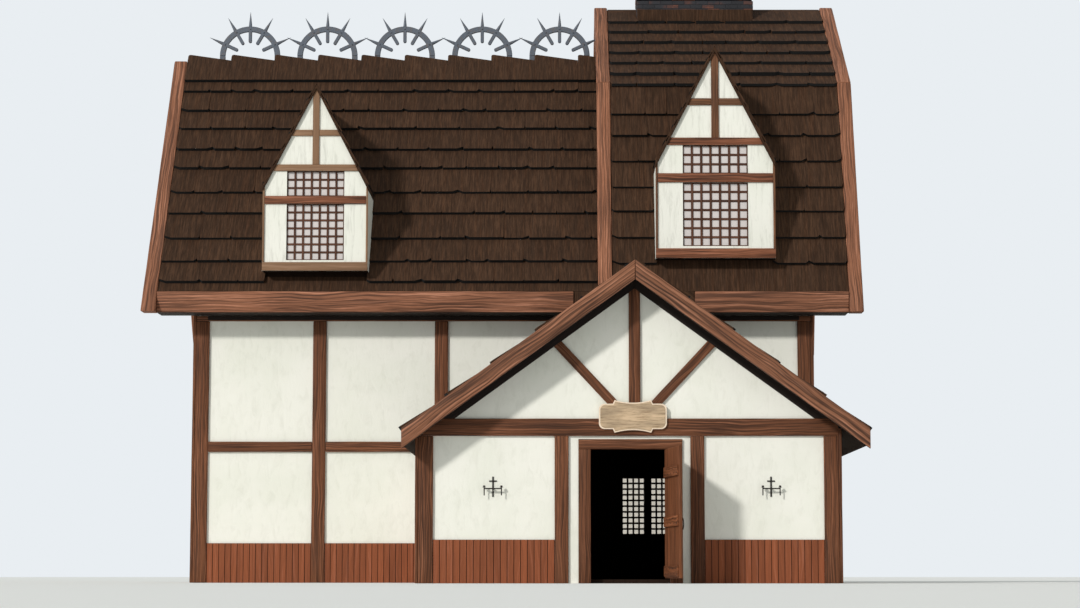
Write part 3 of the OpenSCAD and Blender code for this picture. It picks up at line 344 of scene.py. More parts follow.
def sawn_wood(name, tint, contrast, vein, figure=20.0, depth=0.003):
    """Stained sawn oak: growth streaks that wander along the board, dark veins between them and fine fibre.

    figure is the streaks per metre: 20 to 50 mm apart, wider on the broad slabs, with veins some 10 mm thick,
    a little coarser than real ones so that they show. The eye takes them for the figure of the wood, and the
    bump lets the veins catch the light.
    """
    coat, tree, uv = begin(name, True)
    along = add(tree, "SeparateXYZ", {"Vector": uv})
    wander = stretched(tree, uv, (0.8, 2.2), Detail=2.0)
    course = add(tree, "CombineXYZ", {"X": along, "Y": summed(tree, along.node.outputs["Y"], (wander, 0.16))})
    streak = stretched(tree, course, (0.55, figure), Detail=3.0, Roughness=0.6)
    lines = stretched(tree, course, (0.40, figure * 0.62), Detail=1.5, Roughness=0.5)
    fibre = stretched(tree, uv, (5.0, 120.0), Detail=2.0)
    near = add(tree, "Math", {0: lines, 1: 0.5}, operation="SUBTRACT")
    near = add(tree, "Math", {0: near}, operation="ABSOLUTE")
    stops = [(0.0, grey(1.0 - vein)), (0.030, grey(1.0 - vein * 0.7)), (0.075, grey(1.0))]
    veins = add(tree, "ValToRGB", {"Fac": near}, stops=stops)
    mix = summed(tree, 0.0, (fibre, 0.25), (streak, 0.75))
    low, high = 1 - 0.48 * contrast, 1 + 0.95 * contrast
    faded = sum(tint[:3]) / 3
    pale = tinted([0.88 * c + 0.12 * faded for c in tint[:3]], high)
    stops = [(0.38, tinted(tint, low)), (0.49, tint), (0.52, tint), (0.62, pale)]
    base = add(tree, "ValToRGB", {"Fac": mix}, stops=stops)
    base = add(tree, "Mix", {0: 1.0, 6: base, 7: veins}, 2, **MULTIPLY)
    height = add(tree, "Mix", {0: 1.0, 6: veins, 7: mix}, 2, **MULTIPLY)
    rough = add(tree, "MapRange", {"Value": streak, "To Min": 0.62, "To Max": 0.82})
    inputs = {"Base Color": toned(tree, base, 0.86, 1.12), "Roughness": rough, "Specular IOR Level": 0.25}
    return close(coat, inputs, height, depth)


def riven_shingle(name, tint):
    """Split and weathered shingle: fine upright fibres with a few greyed or reddish streaks."""
    coat, tree, uv = begin(name, True)
    broad = stretched(tree, uv, (1.5, 16.0), Detail=3.0, Roughness=0.6)
    fibre = stretched(tree, uv, (3.5, 42.0), Detail=3.0, Roughness=0.7)
    hue = stretched(tree, uv, (1.0, 22.0), Detail=2.0)
    mix = summed(tree, 0.0, (broad, 0.40), (fibre, 0.60))
    stops = [(0.40, tinted(tint, 0.55)), (0.50, tinted(tint, 1.05)), (0.60, tinted(tint, 1.95))]
    base = add(tree, "ValToRGB", {"Fac": mix}, stops=stops)
    greyed = tinted(tint, 1.3, (0.95, 1.04, 1.2))
    red = tinted(tint, 1.05, (1.25, 1.0, 0.8))
    stops = [(0.36, red), (0.46, tint), (0.54, tint), (0.64, greyed)]
    weather = add(tree, "ValToRGB", {"Fac": hue}, stops=stops)
    base = add(tree, "Mix", {0: 0.3, 6: base, 7: weather}, 2, **BLEND)
    inputs = {"Base Color": toned(tree, base, 0.93, 1.16), "Roughness": 0.9, "Specular IOR Level": 0.15}
    return close(coat, inputs, mix, 0.004)


def weathered_board(name, tint):
    """Bare board bleached by the weather: pale and brown patches a hand wide, with fine fibre along them."""
    coat, tree, uv = begin(name, True)
    patch = stretched(tree, uv, (2.0, 7.0), Detail=3.0, Roughness=0.55)
    fibre = stretched(tree, uv, (4.0, 46.0), Detail=4.0, Roughness=0.65)
    shades = (0.34, 0.72), (0.48, 0.95), (0.54, 1.08), (0.66, 1.3)
    stops = [(spot, tinted(tint, value)) for spot, value in shades]
    base = add(tree, "ValToRGB", {"Fac": patch}, stops=stops)
    stops = [(0.36, (0.55, 0.51, 0.46, 1.0)), (0.50, grey(0.95)), (0.62, grey(1.0))]
    lines = add(tree, "ValToRGB", {"Fac": fibre}, stops=stops)
    base = add(tree, "Mix", {0: 1.0, 6: base, 7: lines}, 2, **MULTIPLY)
    return close(coat, {"Base Color": base, "Roughness": 0.8}, fibre, 0.0015)


def lime_plaster(name, pale, shade, marks=(9.0, 9.0, 3.5), dark=0.93):
    """Hand-floated lime plaster: chalky, with soft trowel marks and fine grit.

    marks are the trowel marks per metre: a hand wide on the walls, narrow and upright where it was combed.
    """
    coat, tree, place = begin(name)
    patch = add(tree, "TexNoise", {"Vector": place, "Scale": 0.9, "Detail": 4.0, "Roughness": 0.6})
    trowel = stretched(tree, place, marks, Detail=5.0, Roughness=0.65, Distortion=0.6)
    grit = add(tree, "TexNoise", {"Vector": place, "Scale": 160.0, "Detail": 2.0})
    cool = add(tree, "ValToRGB", {"Fac": patch}, stops=[(0.42, grey(0.0)), (0.68, grey(0.7))])
    tint = add(tree, "Mix", {0: cool, 6: pale, 7: shade}, 2, **BLEND)
    stops = [(0.30, (dark, dark, dark * 0.99, 1.0)), (0.50, grey(1.0))]
    floated = add(tree, "ValToRGB", {"Fac": trowel}, stops=stops)
    tint = add(tree, "Mix", {0: 1.0, 6: tint, 7: floated}, 2, **MULTIPLY)
    inputs = {"Base Color": tint, "Roughness": 0.92, "IOR": 1.5, "Specular IOR Level": 0.25}
    return close(coat, inputs, summed(tree, trowel, (grit, 0.15)), 0.006)


def boarding(name, tint, board=0.18):
    """Dark boards, for faces that lie inside the house, their darkness painted shade. board is their width."""
    coat, tree, place = begin(name)
    split = add(tree, "SeparateXYZ", {"Vector": place})
    across = add(tree, "Math", {0: split, 1: split.node.outputs["Y"]}, operation="ADD")
    cycle = add(tree, "Math", {0: across, 1: board}, operation="FLOORED_MODULO")
    share = add(tree, "MapRange", {"Value": cycle, "To Min": 0.0, "To Max": 1.0 / board})
    groove = add(tree, "ValToRGB", {"Fac": share}, stops=[(0.02, grey(0.25)), (0.06, grey(1.0))])
    streak = stretched(tree, place, (40.0, 40.0, 1.6), Detail=4.0)
    base = varied(tree, tint, streak, 0.6, 1.4)
    base = add(tree, "Mix", {0: 1.0, 6: base, 7: groove}, 2, **MULTIPLY)
    return close(coat, {"Base Color": base, "Roughness": 0.9, "Specular IOR Level": 0.08}, streak, 0.002)


def forged_iron(name, tint, rough=0.55, metallic=0.85):
    """Hammered, waxed iron: dull, with shallow dents about 30 mm across and a trace of rust."""
    coat, tree, place = begin(name)
    dent = add(tree, "TexVoronoi", {"Vector": place, "Scale": 34.0}, feature="SMOOTH_F1")
    mottle = add(tree, "TexNoise", {"Vector": place, "Scale": 22.0, "Detail": 5.0})
    rust = add(tree, "ValToRGB", {"Fac": mottle}, stops=[(0.5, grey(0.0)), (0.72, grey(1.0))])
    rusty = tinted(tint, 1.0, (1.35, 1.05, 0.85))
    body = add(tree, "Mix", {0: rust, 6: tint, 7: rusty}, 2, **BLEND)
    dull = add(tree, "MapRange", {"Value": mottle, "To Min": rough - 0.1, "To Max": rough + 0.15})
    return close(coat, {"Base Color": body, "Metallic": metallic, "Roughness": dull}, dent, 0.002)


def pale_glass(name, tint, clear):
    """Old window glass, slightly wavy. clear is how much is seen through it."""
    coat, tree, place = begin(name)
    wavy = add(tree, "TexNoise", {"Vector": place, "Scale": 5.0, "Detail": 2.0})
    inputs = {"Roughness": 0.14, "IOR": 1.5, "Transmission Weight": clear, "Coat Weight": 0.4}
    return close(coat, {"Base Color": varied(tree, tint, wavy, 0.92, 1.04), **inputs}, wavy, 0.003)


def fired_brick(name, red, soot):
    """Hand-made brick, darkened by smoke, each with its own tone."""
    coat, tree, place = begin(name)
    own = add(tree, "Attribute", out="Fac", attribute_name=TONE)
    pit = add(tree, "TexNoise", {"Vector": place, "Scale": 60.0, "Detail": 4.0, "Roughness": 0.7})
    smoke = add(tree, "TexNoise", {"Vector": place, "Scale": 1.7, "Detail": 2.0})
    worn = add(tree, "TexNoise", {"Vector": place, "Scale": 14.0, "Detail": 3.0})
    half = tuple((a + b) / 2 for a, b in zip(red, soot))
    stops = [(0.5, tinted(soot, 0.75)), (0.86, tinted(soot, 1.3)), (0.98, half), (1.0, red)]
    mix = summed(tree, smoke, (worn, 0.16), (own, 0.45))
    tint = varied(tree, add(tree, "ValToRGB", {"Fac": mix}, stops=stops), pit, 0.65, 1.3)
    return close(coat, {"Base Color": tint, "Roughness": 0.9}, pit, 0.004)


def flat_coat(name, tint, rough, grain=30.0, depth=0.002):
    """A plain matt finish with a fine uneven grain, for mortar and the like."""
    coat, tree, place = begin(name)
    speck = add(tree, "TexNoise", {"Vector": place, "Scale": grain, "Detail": 4.0})
    return close(coat, {"Base Color": varied(tree, tint, speck, 0.75, 1.2), "Roughness": rough}, speck, depth)


# Each finish: what makes it, its title, the colours it takes and its own numbers, which for wood are
# contrast, strength of the veins, streaks per metre and depth of the bump
FINISHES = {
    "plaster": (lime_plaster, "lime plaster", "plaster plaster_shade"),
    "combed plaster": (lime_plaster, "combed plaster", "plaster plaster_shade", (17.0, 17.0, 2.2), 0.80),
    "timber": (sawn_wood, "oak posts", "timber", 0.85, 0.6, 48.0),
    "board": (sawn_wood, "oak boards", "board", 0.85, 0.65, 27.0),
    "left board": (sawn_wood, "smooth oak", "left_board", 0.35, 0.15, 20.0, 0.001),
    "right board": (sawn_wood, "sawn oak", "right_board", 0.7, 0.5, 40.0),
    "rail": (sawn_wood, "red oak rails", "rail", 0.8, 0.65, 30.0),
    "gable board": (sawn_wood, "gable boards", "gable", 0.9, 0.7, 27.0),
    # The shade coat is painted shade on undersides, rafters, wall plate and grooves
    "shade": (sawn_wood, "dark stained boards", "shade", 0.6, 0.3),
    "door": (sawn_wood, "door boards", "door", 0.65, 0.5, 42.0),
    "lattice": (sawn_wood, "window bars", "lattice", 0.6, 0.3),
    "panelling": (sawn_wood, "red-brown boards", "panelling", 0.28, 0.15, 30.0, 0.0015),
    "shingle": (riven_shingle, "weathered shingles", "shingle"),
    # Butts of the shingles: end grain darkened further as painted shade
    "shingle end": (flat_coat, "damp end grain", "shingle_end", 0.95, 60.0, 0.003),
    "inside": (boarding, "inner boarding", "inside"),
    "iron": (forged_iron, "forged iron", "iron"),
    "cresting": (forged_iron, "weathered iron", "cresting", 0.6, 0.6),
    "dormer glass": (pale_glass, "pale panes", "glass", 0.0),
    "rear glass": (pale_glass, "clear panes", "rear_glass", 0.9),
    "plaque": (weathered_board, "weathered board", "plaque"),
    "rim": (flat_coat, "pale painted rim", "plaque_rim", 0.6, 40.0, 0.001),
    "brick": (fired_brick, "sooted brick", "brick soot"),
    "mortar": (flat_coat, "sooted mortar", "soot", 0.95),
}
COATS = {}


def make_coats(tints):
    """Every finish of the house, by name."""
    for name, (make, title, shades, *numbers) in FINISHES.items():
        COATS[name] = make(title, *(tuple(getattr(tints, shade)) for shade in shades.split()), *numbers)
    COATS["verge"] = sawn_wood("verge beams", tinted(tints.board, 1.1), 0.8, 0.6, 38.0)


def coat_node(node, *names):
    """Gives a CAD node its finishes, and returns its mesh."""
    mesh = NODES[node].data
    mesh.materials.clear()
    for name in names:
        mesh.materials.append(COATS[name])
    return mesh


# Building pieces from parts


class Workpiece:
    """Gathers timbers, shingles or bricks into one mesh, each with its own grain coordinates and tone."""

    def __init__(self, seed):
        self.chance = random.Random(seed)
        self.whole, self.part = bmesh.new(), bmesh.new()
        for bm in (self.whole, self.part):
            bm.loops.layers.uv.new(GRAIN)
            bm.verts.layers.float.new(TONE)
        self.scratch = bpy.data.meshes.new("scratch")

    def box(self, low, high, edge=0.0):
        """Starts a part with a box, its edges taken off by edge."""
        low, high = Vector(low), Vector(high)
        place = Matrix.Translation((low + high) / 2) @ Matrix.Diagonal((high - low).to_4d())
        bmesh.ops.create_cube(self.part, size=1.0, matrix=place)
        if edge:
            self.soften(self.part.edges[:], edge)

    def crisp(self, angle=1.0):
        """The part's edges at which it turns by more than an angle."""
        self.part.normal_update()
        return [e for e in self.part.edges if len(e.link_faces) == 2 and e.calc_face_angle() > angle]

    def soften(self, edges, width, segments=1):
        """Takes the given edges off, and returns the new corners."""
        return bmesh.ops.bevel(
            self.part, geom=edges, offset=width, segments=segments, profile=0.5, affect="EDGES", material=-1,
            clamp_overlap=True,
        )["verts"]

    def second_coat(self, chosen=None):
        """Gives the second finish to the part's faces that are chosen, or to all."""
        for face in self.part.faces:
            face.material_index = 1 if chosen is None or chosen(face.normal) else 0

    def keep(self, grain, place=None, side=None):
        """Writes the part's grain coordinates and tone, puts it in place and adds it to the piece.

        side is the way its widest side faces, so that worn faces share one set of coordinates.
        """
        part, chance = self.part, self.chance
        uv, tone = part.loops.layers.uv[GRAIN], part.verts.layers.float[TONE]
        part.normal_update()
        grain = Vector(grain).normalized()
        first = Vector(side) if side else grain.orthogonal().normalized()
        second = grain.cross(first).normalized()
        start = (chance.uniform(0, 50), chance.uniform(0, 50))
        shade = chance.random()
        for vert in part.verts:
            vert[tone] = shade
        for face in part.faces:
            face.smooth = True
            ends = abs(face.normal.dot(grain)) > 0.8
            flat = abs(face.normal.dot(first)) > abs(face.normal.dot(second))
            along = first if ends else grain
            across = second if flat or ends else first
            for loop in face.loops:
                spot = loop.vert.co
                loop[uv].uv = (start[0] + spot.dot(along), start[1] + spot.dot(across))
        if place is not None:
            bmesh.ops.transform(part, matrix=place, verts=part.verts[:])
            if place.determinant() < 0:
                bmesh.ops.reverse_faces(part, faces=part.faces[:])
        part.to_mesh(self.scratch)
        self.whole.from_mesh(self.scratch)
        self.drop()

    def drop(self):
        """Empties the part."""
        bmesh.ops.delete(self.part, geom=self.part.verts[:], context="VERTS")

    def finish(self, name, coat, slot, body="house", replaced=(), more=None):
        """Makes the gathered parts one object that rides on a body."""
        mesh = bpy.data.meshes.new(name)
        self.whole.to_mesh(mesh)
        self.whole.free()
        self.part.free()
        bpy.data.meshes.remove(self.scratch)
        mesh.set_sharp_from_angle(angle=SHARP)
        for coat_name in filter(None, (coat, more)):
            mesh.materials.append(COATS[coat_name])
        piece = bpy.data.objects.new(name, mesh)
        bpy.context.scene.collection.objects.link(piece)
        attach(piece, body)
        if replaced:
            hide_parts(*replaced)

    def finish_roof(self, name, replaced=()):
        """Makes the gathered shingles one object, with butts darkened as painted shade."""
        self.finish(name, "shingle", "shingle", replaced=replaced, more="shingle end")


def solids(node):
    """The separate solids of a CAD node, each as a clean mesh of its own."""
    merged = bmesh.new()
    merged.from_mesh(NODES[node].data)
    bmesh.ops.remove_doubles(merged, verts=merged.verts[:], dist=0.00001)
    merged.faces.index_update()
    seen, found = set(), []
    for first in merged.faces:
        if first.index in seen:
            continue
        group, stack = {first.index}, [first]
        while stack:
            for other in (face for edge in stack.pop().edges for face in edge.link_faces):
                if other.index not in group:
                    group.add(other.index)
                    stack.append(other)
        seen |= group
        found.append(group)
    for group in found:
        one = merged.copy()
        rest = [f for f in one.faces if f.index not in group]
        bmesh.ops.delete(one, geom=rest, context="FACES")
        bmesh.ops.dissolve_limit(one, angle_limit=0.01, verts=one.verts[:], edges=one.edges[:])
        mesh = bpy.data.meshes.new("solid")
        one.to_mesh(mesh)
        one.free()
        yield mesh
        bpy.data.meshes.remove(mesh)
    merged.free()


def span(mesh):
    """The lowest and highest corner of a mesh."""
    axes = list(zip(*(v.co for v in mesh.vertices)))
    return Vector([min(axis) for axis in axes]), Vector([max(axis) for axis in axes])


def lie(bm):
    """The direction of a solid's longest edge, and the way its widest side faces, the same on every run."""

    def rank(size, spot):
        return round(size, 4), *(round(value, 3) for value in spot)

    edge = max(bm.edges, key=lambda e: rank(e.calc_length(), e.verts[0].co + e.verts[1].co))
    grain = (edge.verts[1].co - edge.verts[0].co).normalized()
    if max(grain, key=abs) < 0:
        grain.negate()
    sides = [f for f in bm.faces if abs(f.normal.dot(grain)) < 0.1]
    return grain, max(sides, key=lambda f: rank(f.calc_area(), f.calc_center_median())).normal.copy()


def hew(part, grain, depth, step):
    """Presses the shallow hollows of hewing into a timber, with points every step along it."""
    long = [e for e in part.edges if abs((e.verts[1].co - e.verts[0].co).normalized().dot(grain)) > 0.97]
    cuts = min(28, int(max(e.calc_length() for e in long) / step))
    if cuts:
        bmesh.ops.subdivide_edges(part, edges=long, cuts=cuts, use_grid_fill=True)
    part.normal_update()
    for vert in part.verts:
        dip = noise.noise(vert.co * 1.9) + 0.6 * noise.noise(vert.co * 5.3)
        vert.co -= vert.normal * depth * min(1.0, max(0.0, 0.5 + 0.6 * dip))


def dress(
    name, coat, slot, node, edge, hewn=0.0, step=0.45, body="house", segments=2, wanted=None, under=None
):
    """A CAD node's solids with worn edges, hewn hollows and grain along each one's length, as one new piece.

    wanted picks the solids by their lowest corner, and under is the coat of painted shade on the sides that look
    down.
    """
    work = Workpiece(name)
    for mesh in solids(node):
        if wanted and not wanted(span(mesh)[0]):
            continue
        work.part.from_mesh(mesh)
        work.part.normal_update()
        grain, side = lie(work.part)
        if hewn:
            hew(work.part, grain, hewn, step)
        work.soften(work.crisp(0.6), edge, segments)
        # Sides that look down get the under coat: painted shade
        if under:
            work.part.normal_update()
            work.second_coat(lambda normal: normal.z < -0.6)
        work.keep(grain, side=side)
    work.finish(name, coat, slot, body, [node], under)


def saw(bm, spot, out):
    """Saws off what lies beyond a plane through spot, and closes the cut."""
    everything = bm.verts[:] + bm.edges[:] + bm.faces[:]
    bmesh.ops.bisect_plane(bm, geom=everything, plane_co=spot, plane_no=out, clear_outer=True)
    bmesh.ops.holes_fill(bm, edges=[e for e in bm.edges if e.is_boundary], sides=0)


def in_room(spot, slack=0.16):
    """Whether a point lies in or just round one of the rooms."""
    return any(all(lo[i] - slack < spot[i] < hi[i] + slack for i in range(3)) for lo, hi in ROOMS)


# Roofs


class Slope:
    """A roof slope: its foot's start, the ways along the eave and up the slope, and its length."""

    def __init__(self, foot, head, along):
        self.foot = Vector(foot)
        self.up = (Vector(head) - self.foot).normalized()
        self.rise = (Vector(head) - self.foot).length
        self.along = Vector(along).normalized()
        self.out = self.along.cross(self.up).normalized()
        if self.out.z < 0:
            self.out.negate()

    def place(self, run, climb):
        """Matrix that puts a part made with X along the eave, Y up the slope and Z out of it."""
        return placed(self.foot + self.along * run + self.up * climb, self.along, self.up, self.out)

    def height(self, climb):
        """Height above the ground of a point on the slope."""
        return self.foot.z + self.up.z * climb


def roof_slopes():
    """The slopes of the main roofs by name, from the corners of their CAD plates."""
    left_low, left_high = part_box("left_roof_front")
    low, knee_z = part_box("block_roof_front_lower")[0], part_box("block_roof_front_lower")[1].z
    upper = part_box("block_roof_front_upper")
    knee_y, ridge = upper[0].y, (0, upper[1].z)
    left_rear, left_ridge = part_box("left_roof_rear")[1].y, (left_high.y, left_high.z)
    return {
        name: Slope((x, *foot), (x, *head), RIGHT)
        for name, x, foot, head in (
            ("left_front", left_low.x, (left_low.y, left_low.z), left_ridge),
            ("left_rear", left_low.x, (left_rear, left_low.z), left_ridge),
            ("front_lower", low.x, (low.y, low.z), (knee_y, knee_z)),
            ("front_upper", low.x, (knee_y, knee_z), ridge),
            ("rear_lower", low.x, (-low.y, low.z), (-knee_y, knee_z)),
            ("rear_upper", low.x, (-knee_y, knee_z), ridge),
        )
    }


def free_runs(low, high, blocked):
    """What is left of the run from low to high outside the blocked stretches."""
    runs = [(low, high)]
    for start, end in blocked:
        before = [(a, min(b, start)) for a, b in runs if start > a]
        after = [(max(a, end), b) for a, b in runs if end < b]
        runs = [(a, b) for a, b in before + after if b - a > 0.03]
    return runs


def dormer_gap(slope, side):
    """Gives the stretch of each course on a slope that one dormer's cheeks and gable take."""
    centre, foot_z, scale = DORMERS[side]
    half, cheek, gable = (size * scale for size in DORMER_FRONT)

    def taken(low, high):
        z_low, z_high = slope.height(low), slope.height(high)
        if z_high < foot_z or z_low > foot_z + cheek + gable:
            return []
        over = max(0.0, z_high - foot_z - cheek)
        reach = half * max(0.0, 1 - over / gable) - TUCK
        middle = centre - slope.foot.x
        return [(middle - reach, middle + reach)] if reach > 0.05 else []

    return taken


def cut_corner(work, edge, wide, high):
    """Cuts a lower corner of a shingle off, wide along the butt and high up its side."""
    x = edge.verts[0].co.x
    inward = 1 if x < sum(v.co.x for v in work.part.verts) / len(work.part.verts) else -1
    for vert in work.soften([edge], min(wide, high)):
        if vert.co.y < TINY / 10:
            vert.co.x = x + inward * wide
        else:
            vert.co.y = high


def shingle(work, sizes, width, cover, butt, place, notched=True, cut=None):
    """One shingle: a wedge with notched lower corners and a butt darkened as painted shade, sawn off at the plane
    cut.
    """
    part, chance = work.part, work.chance
    thick = butt * chance.uniform(0.90, 1.08)
    work.box((0, 0, -SHINGLE_SINK), (width, cover, thick))
    for vert in part.verts:
        if vert.co.y > cover / 2 and vert.co.z > 0:
            vert.co.z = SHINGLE_HEAD
    for end in (0.0, width) if notched else ():
        edge = next(e for e in part.edges if all(v.co.y < TINY and abs(v.co.x - end) < TINY for v in e.verts))
        wide, high = chance.choice(NOTCHES)
        wide = min(sizes.notch * wide * chance.uniform(0.7, 1.1), width / 4)
        cut_corner(work, edge, wide, sizes.notch * high)
    part.normal_update()
    # Faces that look down the slope take the butt coat: end grain and painted shade
    work.second_coat(lambda normal: normal.y < -0.3)
    if cut:
        back = place.inverted()
        saw(part, back @ cut[0], back.to_3x3() @ cut[1])
    work.keep(BACK, place, UP)


def lay_courses(work, sizes, slope, run, stops, butt, blocked=None, top=None, cut=None):
    """Courses of shingles over a slope, broken round what stands on it.

    run(climb) gives the two ends of a course, blocked(low, high) the stretches that are taken,
    cut(climb) the plane that its shingles are sawn off at.
    """
    top = top or slope.rise
    for climb, after in zip(stops, (*stops[1:], top)):
        head = min(top, after + LAP)
        thick = FOOT_BUTT if climb == 0 else butt * LOW_BUTT if climb < 0 else butt
        plane = cut(climb) if cut else None
        for a, b in free_runs(*run(climb), blocked(climb, after) if blocked else ()):
            count = max(1, round((b - a) / (sizes.width_least + sizes.width_most) * 2))
            shares = [work.chance.uniform(sizes.width_least, sizes.width_most) for _ in range(count)]
            scale = (b - a) / sum(shares)
            x = a
            for share in shares:
                place = slope.place(x + sizes.gap / 2, climb)
                shingle(work, sizes, share * scale - sizes.gap, head - climb, thick, place, climb != 0, plane)
                x += share * scale


def cap_ridge(work, slope, runs):
    """Boards that close the ridge on one slope."""
    for a, b in runs:
        count = max(1, round((b - a) / CAP_LONG))
        board = (b - a) / count
        for i in range(count):
            work.box((0, -CAP_WIDE, 0.004), (board - 0.004, 0.004, CAP_THICK), 0.005)
            work.keep(RIGHT, slope.place(a + board * i, slope.rise))


# Operators, one for each piece or group of like pieces


class HOUSE_OT_walls(bpy.types.Operator):
    """Plasters the walls, and boards what lies inside the rooms and under the dormer walls, dark as painted shade
    """

    bl_idname = "house.walls"
    bl_label = "Walls"

    def execute(self, context):
        for node in NODES:
            if not node.endswith(("_wall", "_walls", "_wall_left", "_wall_right")):
                continue
            mesh = coat_node(node, "combed plaster" if "dormer" in node else "plaster", "inside")
            for face in mesh.polygons:
                outside = node == "front_wall" and face.normal.y < -0.5
                # The dormer walls' undersides get the dark boarding as painted shade
                under = "dormer" in node and face.normal.z < -0.7
                in_painted_shade = under or in_room(face.center + face.normal * 0.03)
                face.material_index = 1 if in_painted_shade and not outside else 0
        # The floors take the dark boarding too: painted shade in the rooms
        for node in ("left_attic_floor", "block_attic_floor", "ground_floor"):
            coat_node(node, "inside")
        return {"FINISHED"}


class HOUSE_OT_timbers(bpy.types.Operator):
    """Gives the posts, rails, braces, frames and eaves worn edges and grain along each timber"""

    bl_idname = "house.timbers"
    bl_label = "Timbers"

    def execute(self, context):
        sizes = context.scene.house_joinery
        for node in ("front_timbers", "end_timbers", "rear_timbers", "wing_timbers", "door_frame"):
            dress("posts_" + node, "timber", "timber", node, sizes.worn, sizes.hewn)

        def rail(low):
            return any(abs(low.z - foot) < 0.02 for foot in RAIL_FEET)

        # Name, coat, node, worn edge, depth and spacing of the hewn hollows, and what else it takes
        trims = "dormer_trims", 0.006, 0.003, 0.3
        left, right = (lambda low: low.x < 0 and not rail(low)), (lambda low: low.x > 0 and not rail(low))
        for name, coat, node, edge, hewn, step, more in (
            # The eaves and gable boards' undersides take the shade coat: painted shade
            ("eaves_boards", "board", "eaves", 0.012, 0.008, 0.6, {"under": "shade"}),
            ("verge_beams", "verge", "verge_timbers", 0.020, 0.008, 0.5, {"segments": 3}),
            ("gable_boards", "gable board", "wing_barge_boards", 0.012, 0.007, 0.4, {"under": "shade"}),
            ("left_dormer_boards", "left board", *trims, {"wanted": left}),
            ("right_dormer_boards", "right board", *trims, {"wanted": right}),
            ("dormer_rails", "rail", *trims, {"wanted": rail}),
        ):
            dress(name, coat, "timber", node, edge, hewn, step, **more)
        dress("valley_boards", "shingle", "shingle", "valley_apron", 0.004)
        self.rafters()
        return {"FINISHED"}

    def rafters(self):
        """The two rafters on the front wing's gable under its boards, and the wall plate under the eaves, both
        dark as painted shade.
        """
        work = Workpiece("rafters")
        wall_low, wall_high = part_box("wing_gable_wall")
        for mesh in solids("wing_barge_boards"):
            low, high = span(mesh)
            work.part.from_mesh(mesh)
            grain = lie(work.part)[0]
            work.drop()
            lean = abs(grain.z / grain.x)
            side = -1 if low.x < 0 else 1
            apex = Vector((high.x if side < 0 else low.x, 0, low.z + lean * (high.x - low.x)))
            down = Vector((side, 0, -lean)).normalized()
            out = Vector((-down.z, 0, down.x)) * side
            work.box((-0.3, wall_low.y - RAFTER_PROUD, -RAFTER_DROP), (4.4, wall_low.y + 0.02, 0.10))
            place = placed(apex, down, Vector(BACK), out)
            bmesh.ops.transform(work.part, matrix=place, verts=work.part.verts[:])
            if place.determinant() < 0:
                bmesh.ops.reverse_faces(work.part, faces=work.part.faces[:])
            for spot, away in (
                (apex, (-side, 0, 0)),
                ((wall_low.x, 0, 0), (-1, 0, 0)),
                ((wall_high.x, 0, 0), RIGHT),
                ((0, 0, RAFTER_END), (0, 0, -1)),
            ):
                saw(work.part, spot, away)
            work.soften(work.part.edges[:], 0.006)
            work.keep(down, side=FRONT)
        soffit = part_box("eaves")[0].z
        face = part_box("front_timbers")[0].y
        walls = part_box("front_wall")
        work.box((walls[0].x, face - 0.008, soffit - 0.075), (walls[1].x, face + 0.03, soffit - 0.001), 0.006)
        work.keep(RIGHT, side=FRONT)
        # Rafters and wall plate take the shade coat: dark bands of painted shade under the boards and the eaves
        work.finish("rafters_and_plate", "shade", "timber")


class HOUSE_OT_panelling(bpy.types.Operator):
    """Lays the upright boards at the foot of the walls"""

    bl_idname = "house.panelling"
    bl_label = "Panelling"

    def execute(self, context):
        sizes = context.scene.house_joinery
        work = Workpiece("panelling")
        # The front wall's boards run on behind the wing's post to its wall
        wing_post, wing_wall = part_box("wing_timbers")[0].x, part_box("wing_side_walls")[0].x
        for mesh in solids("wainscot"):
            low, high = span(mesh)
            thin = 0 if high.x - low.x < high.y - low.y else 1
            run = 1 - thin
            if thin == 1 and abs(high.x - wing_post) < TINY:
                high.x = wing_wall
            outward = -1 if low[thin] < (SIDE_SPLIT if thin == 0 else 0) else 1

            def board(start, end, shy, edge=0.0):
                """A board between two ends, its face set back by shy."""
                a, b = low.copy(), high.copy()
                a[run], b[run] = start, end
                (a if outward < 0 else b)[thin] -= outward * shy
                work.box(a, b, edge)

            # The backing takes the shade coat: painted shade seen in the grooves between the boards
            board(low[run], high[run], BACKING)
            work.second_coat()
            work.keep(UP)
            wide = high[run] - low[run]
            count = max(1, round(wide / sizes.panel_board))
            for i in range(count):
                start = low[run] + wide * i / count + sizes.groove
                end = low[run] + wide * (i + 1) / count - sizes.groove
                board(start, end, work.chance.uniform(0.0, 0.003), 0.003)
                work.keep(UP)
        work.finish("panelling_boards", "panelling", "wainscot", replaced=["wainscot"], more="shade")
        return {"FINISHED"}


class HOUSE_OT_plates(bpy.types.Operator):
    """Coats the roof plates under the shingles with dark boarding, painted shade on their undersides, and the
    dormers' roofs
    """

    bl_idname = "house.plates"
    bl_label = "Roof plates"

    def execute(self, context):
        for node in NODES:
            if "roof" in node and node != "dormer_roofs":
                # Dark boarding: painted shade on the plates' undersides
                coat_node(node, "inside")
        dress("dormer_roof_boards", "shingle", "shingle", "dormer_roofs", 0.006)
        return {"FINISHED"}


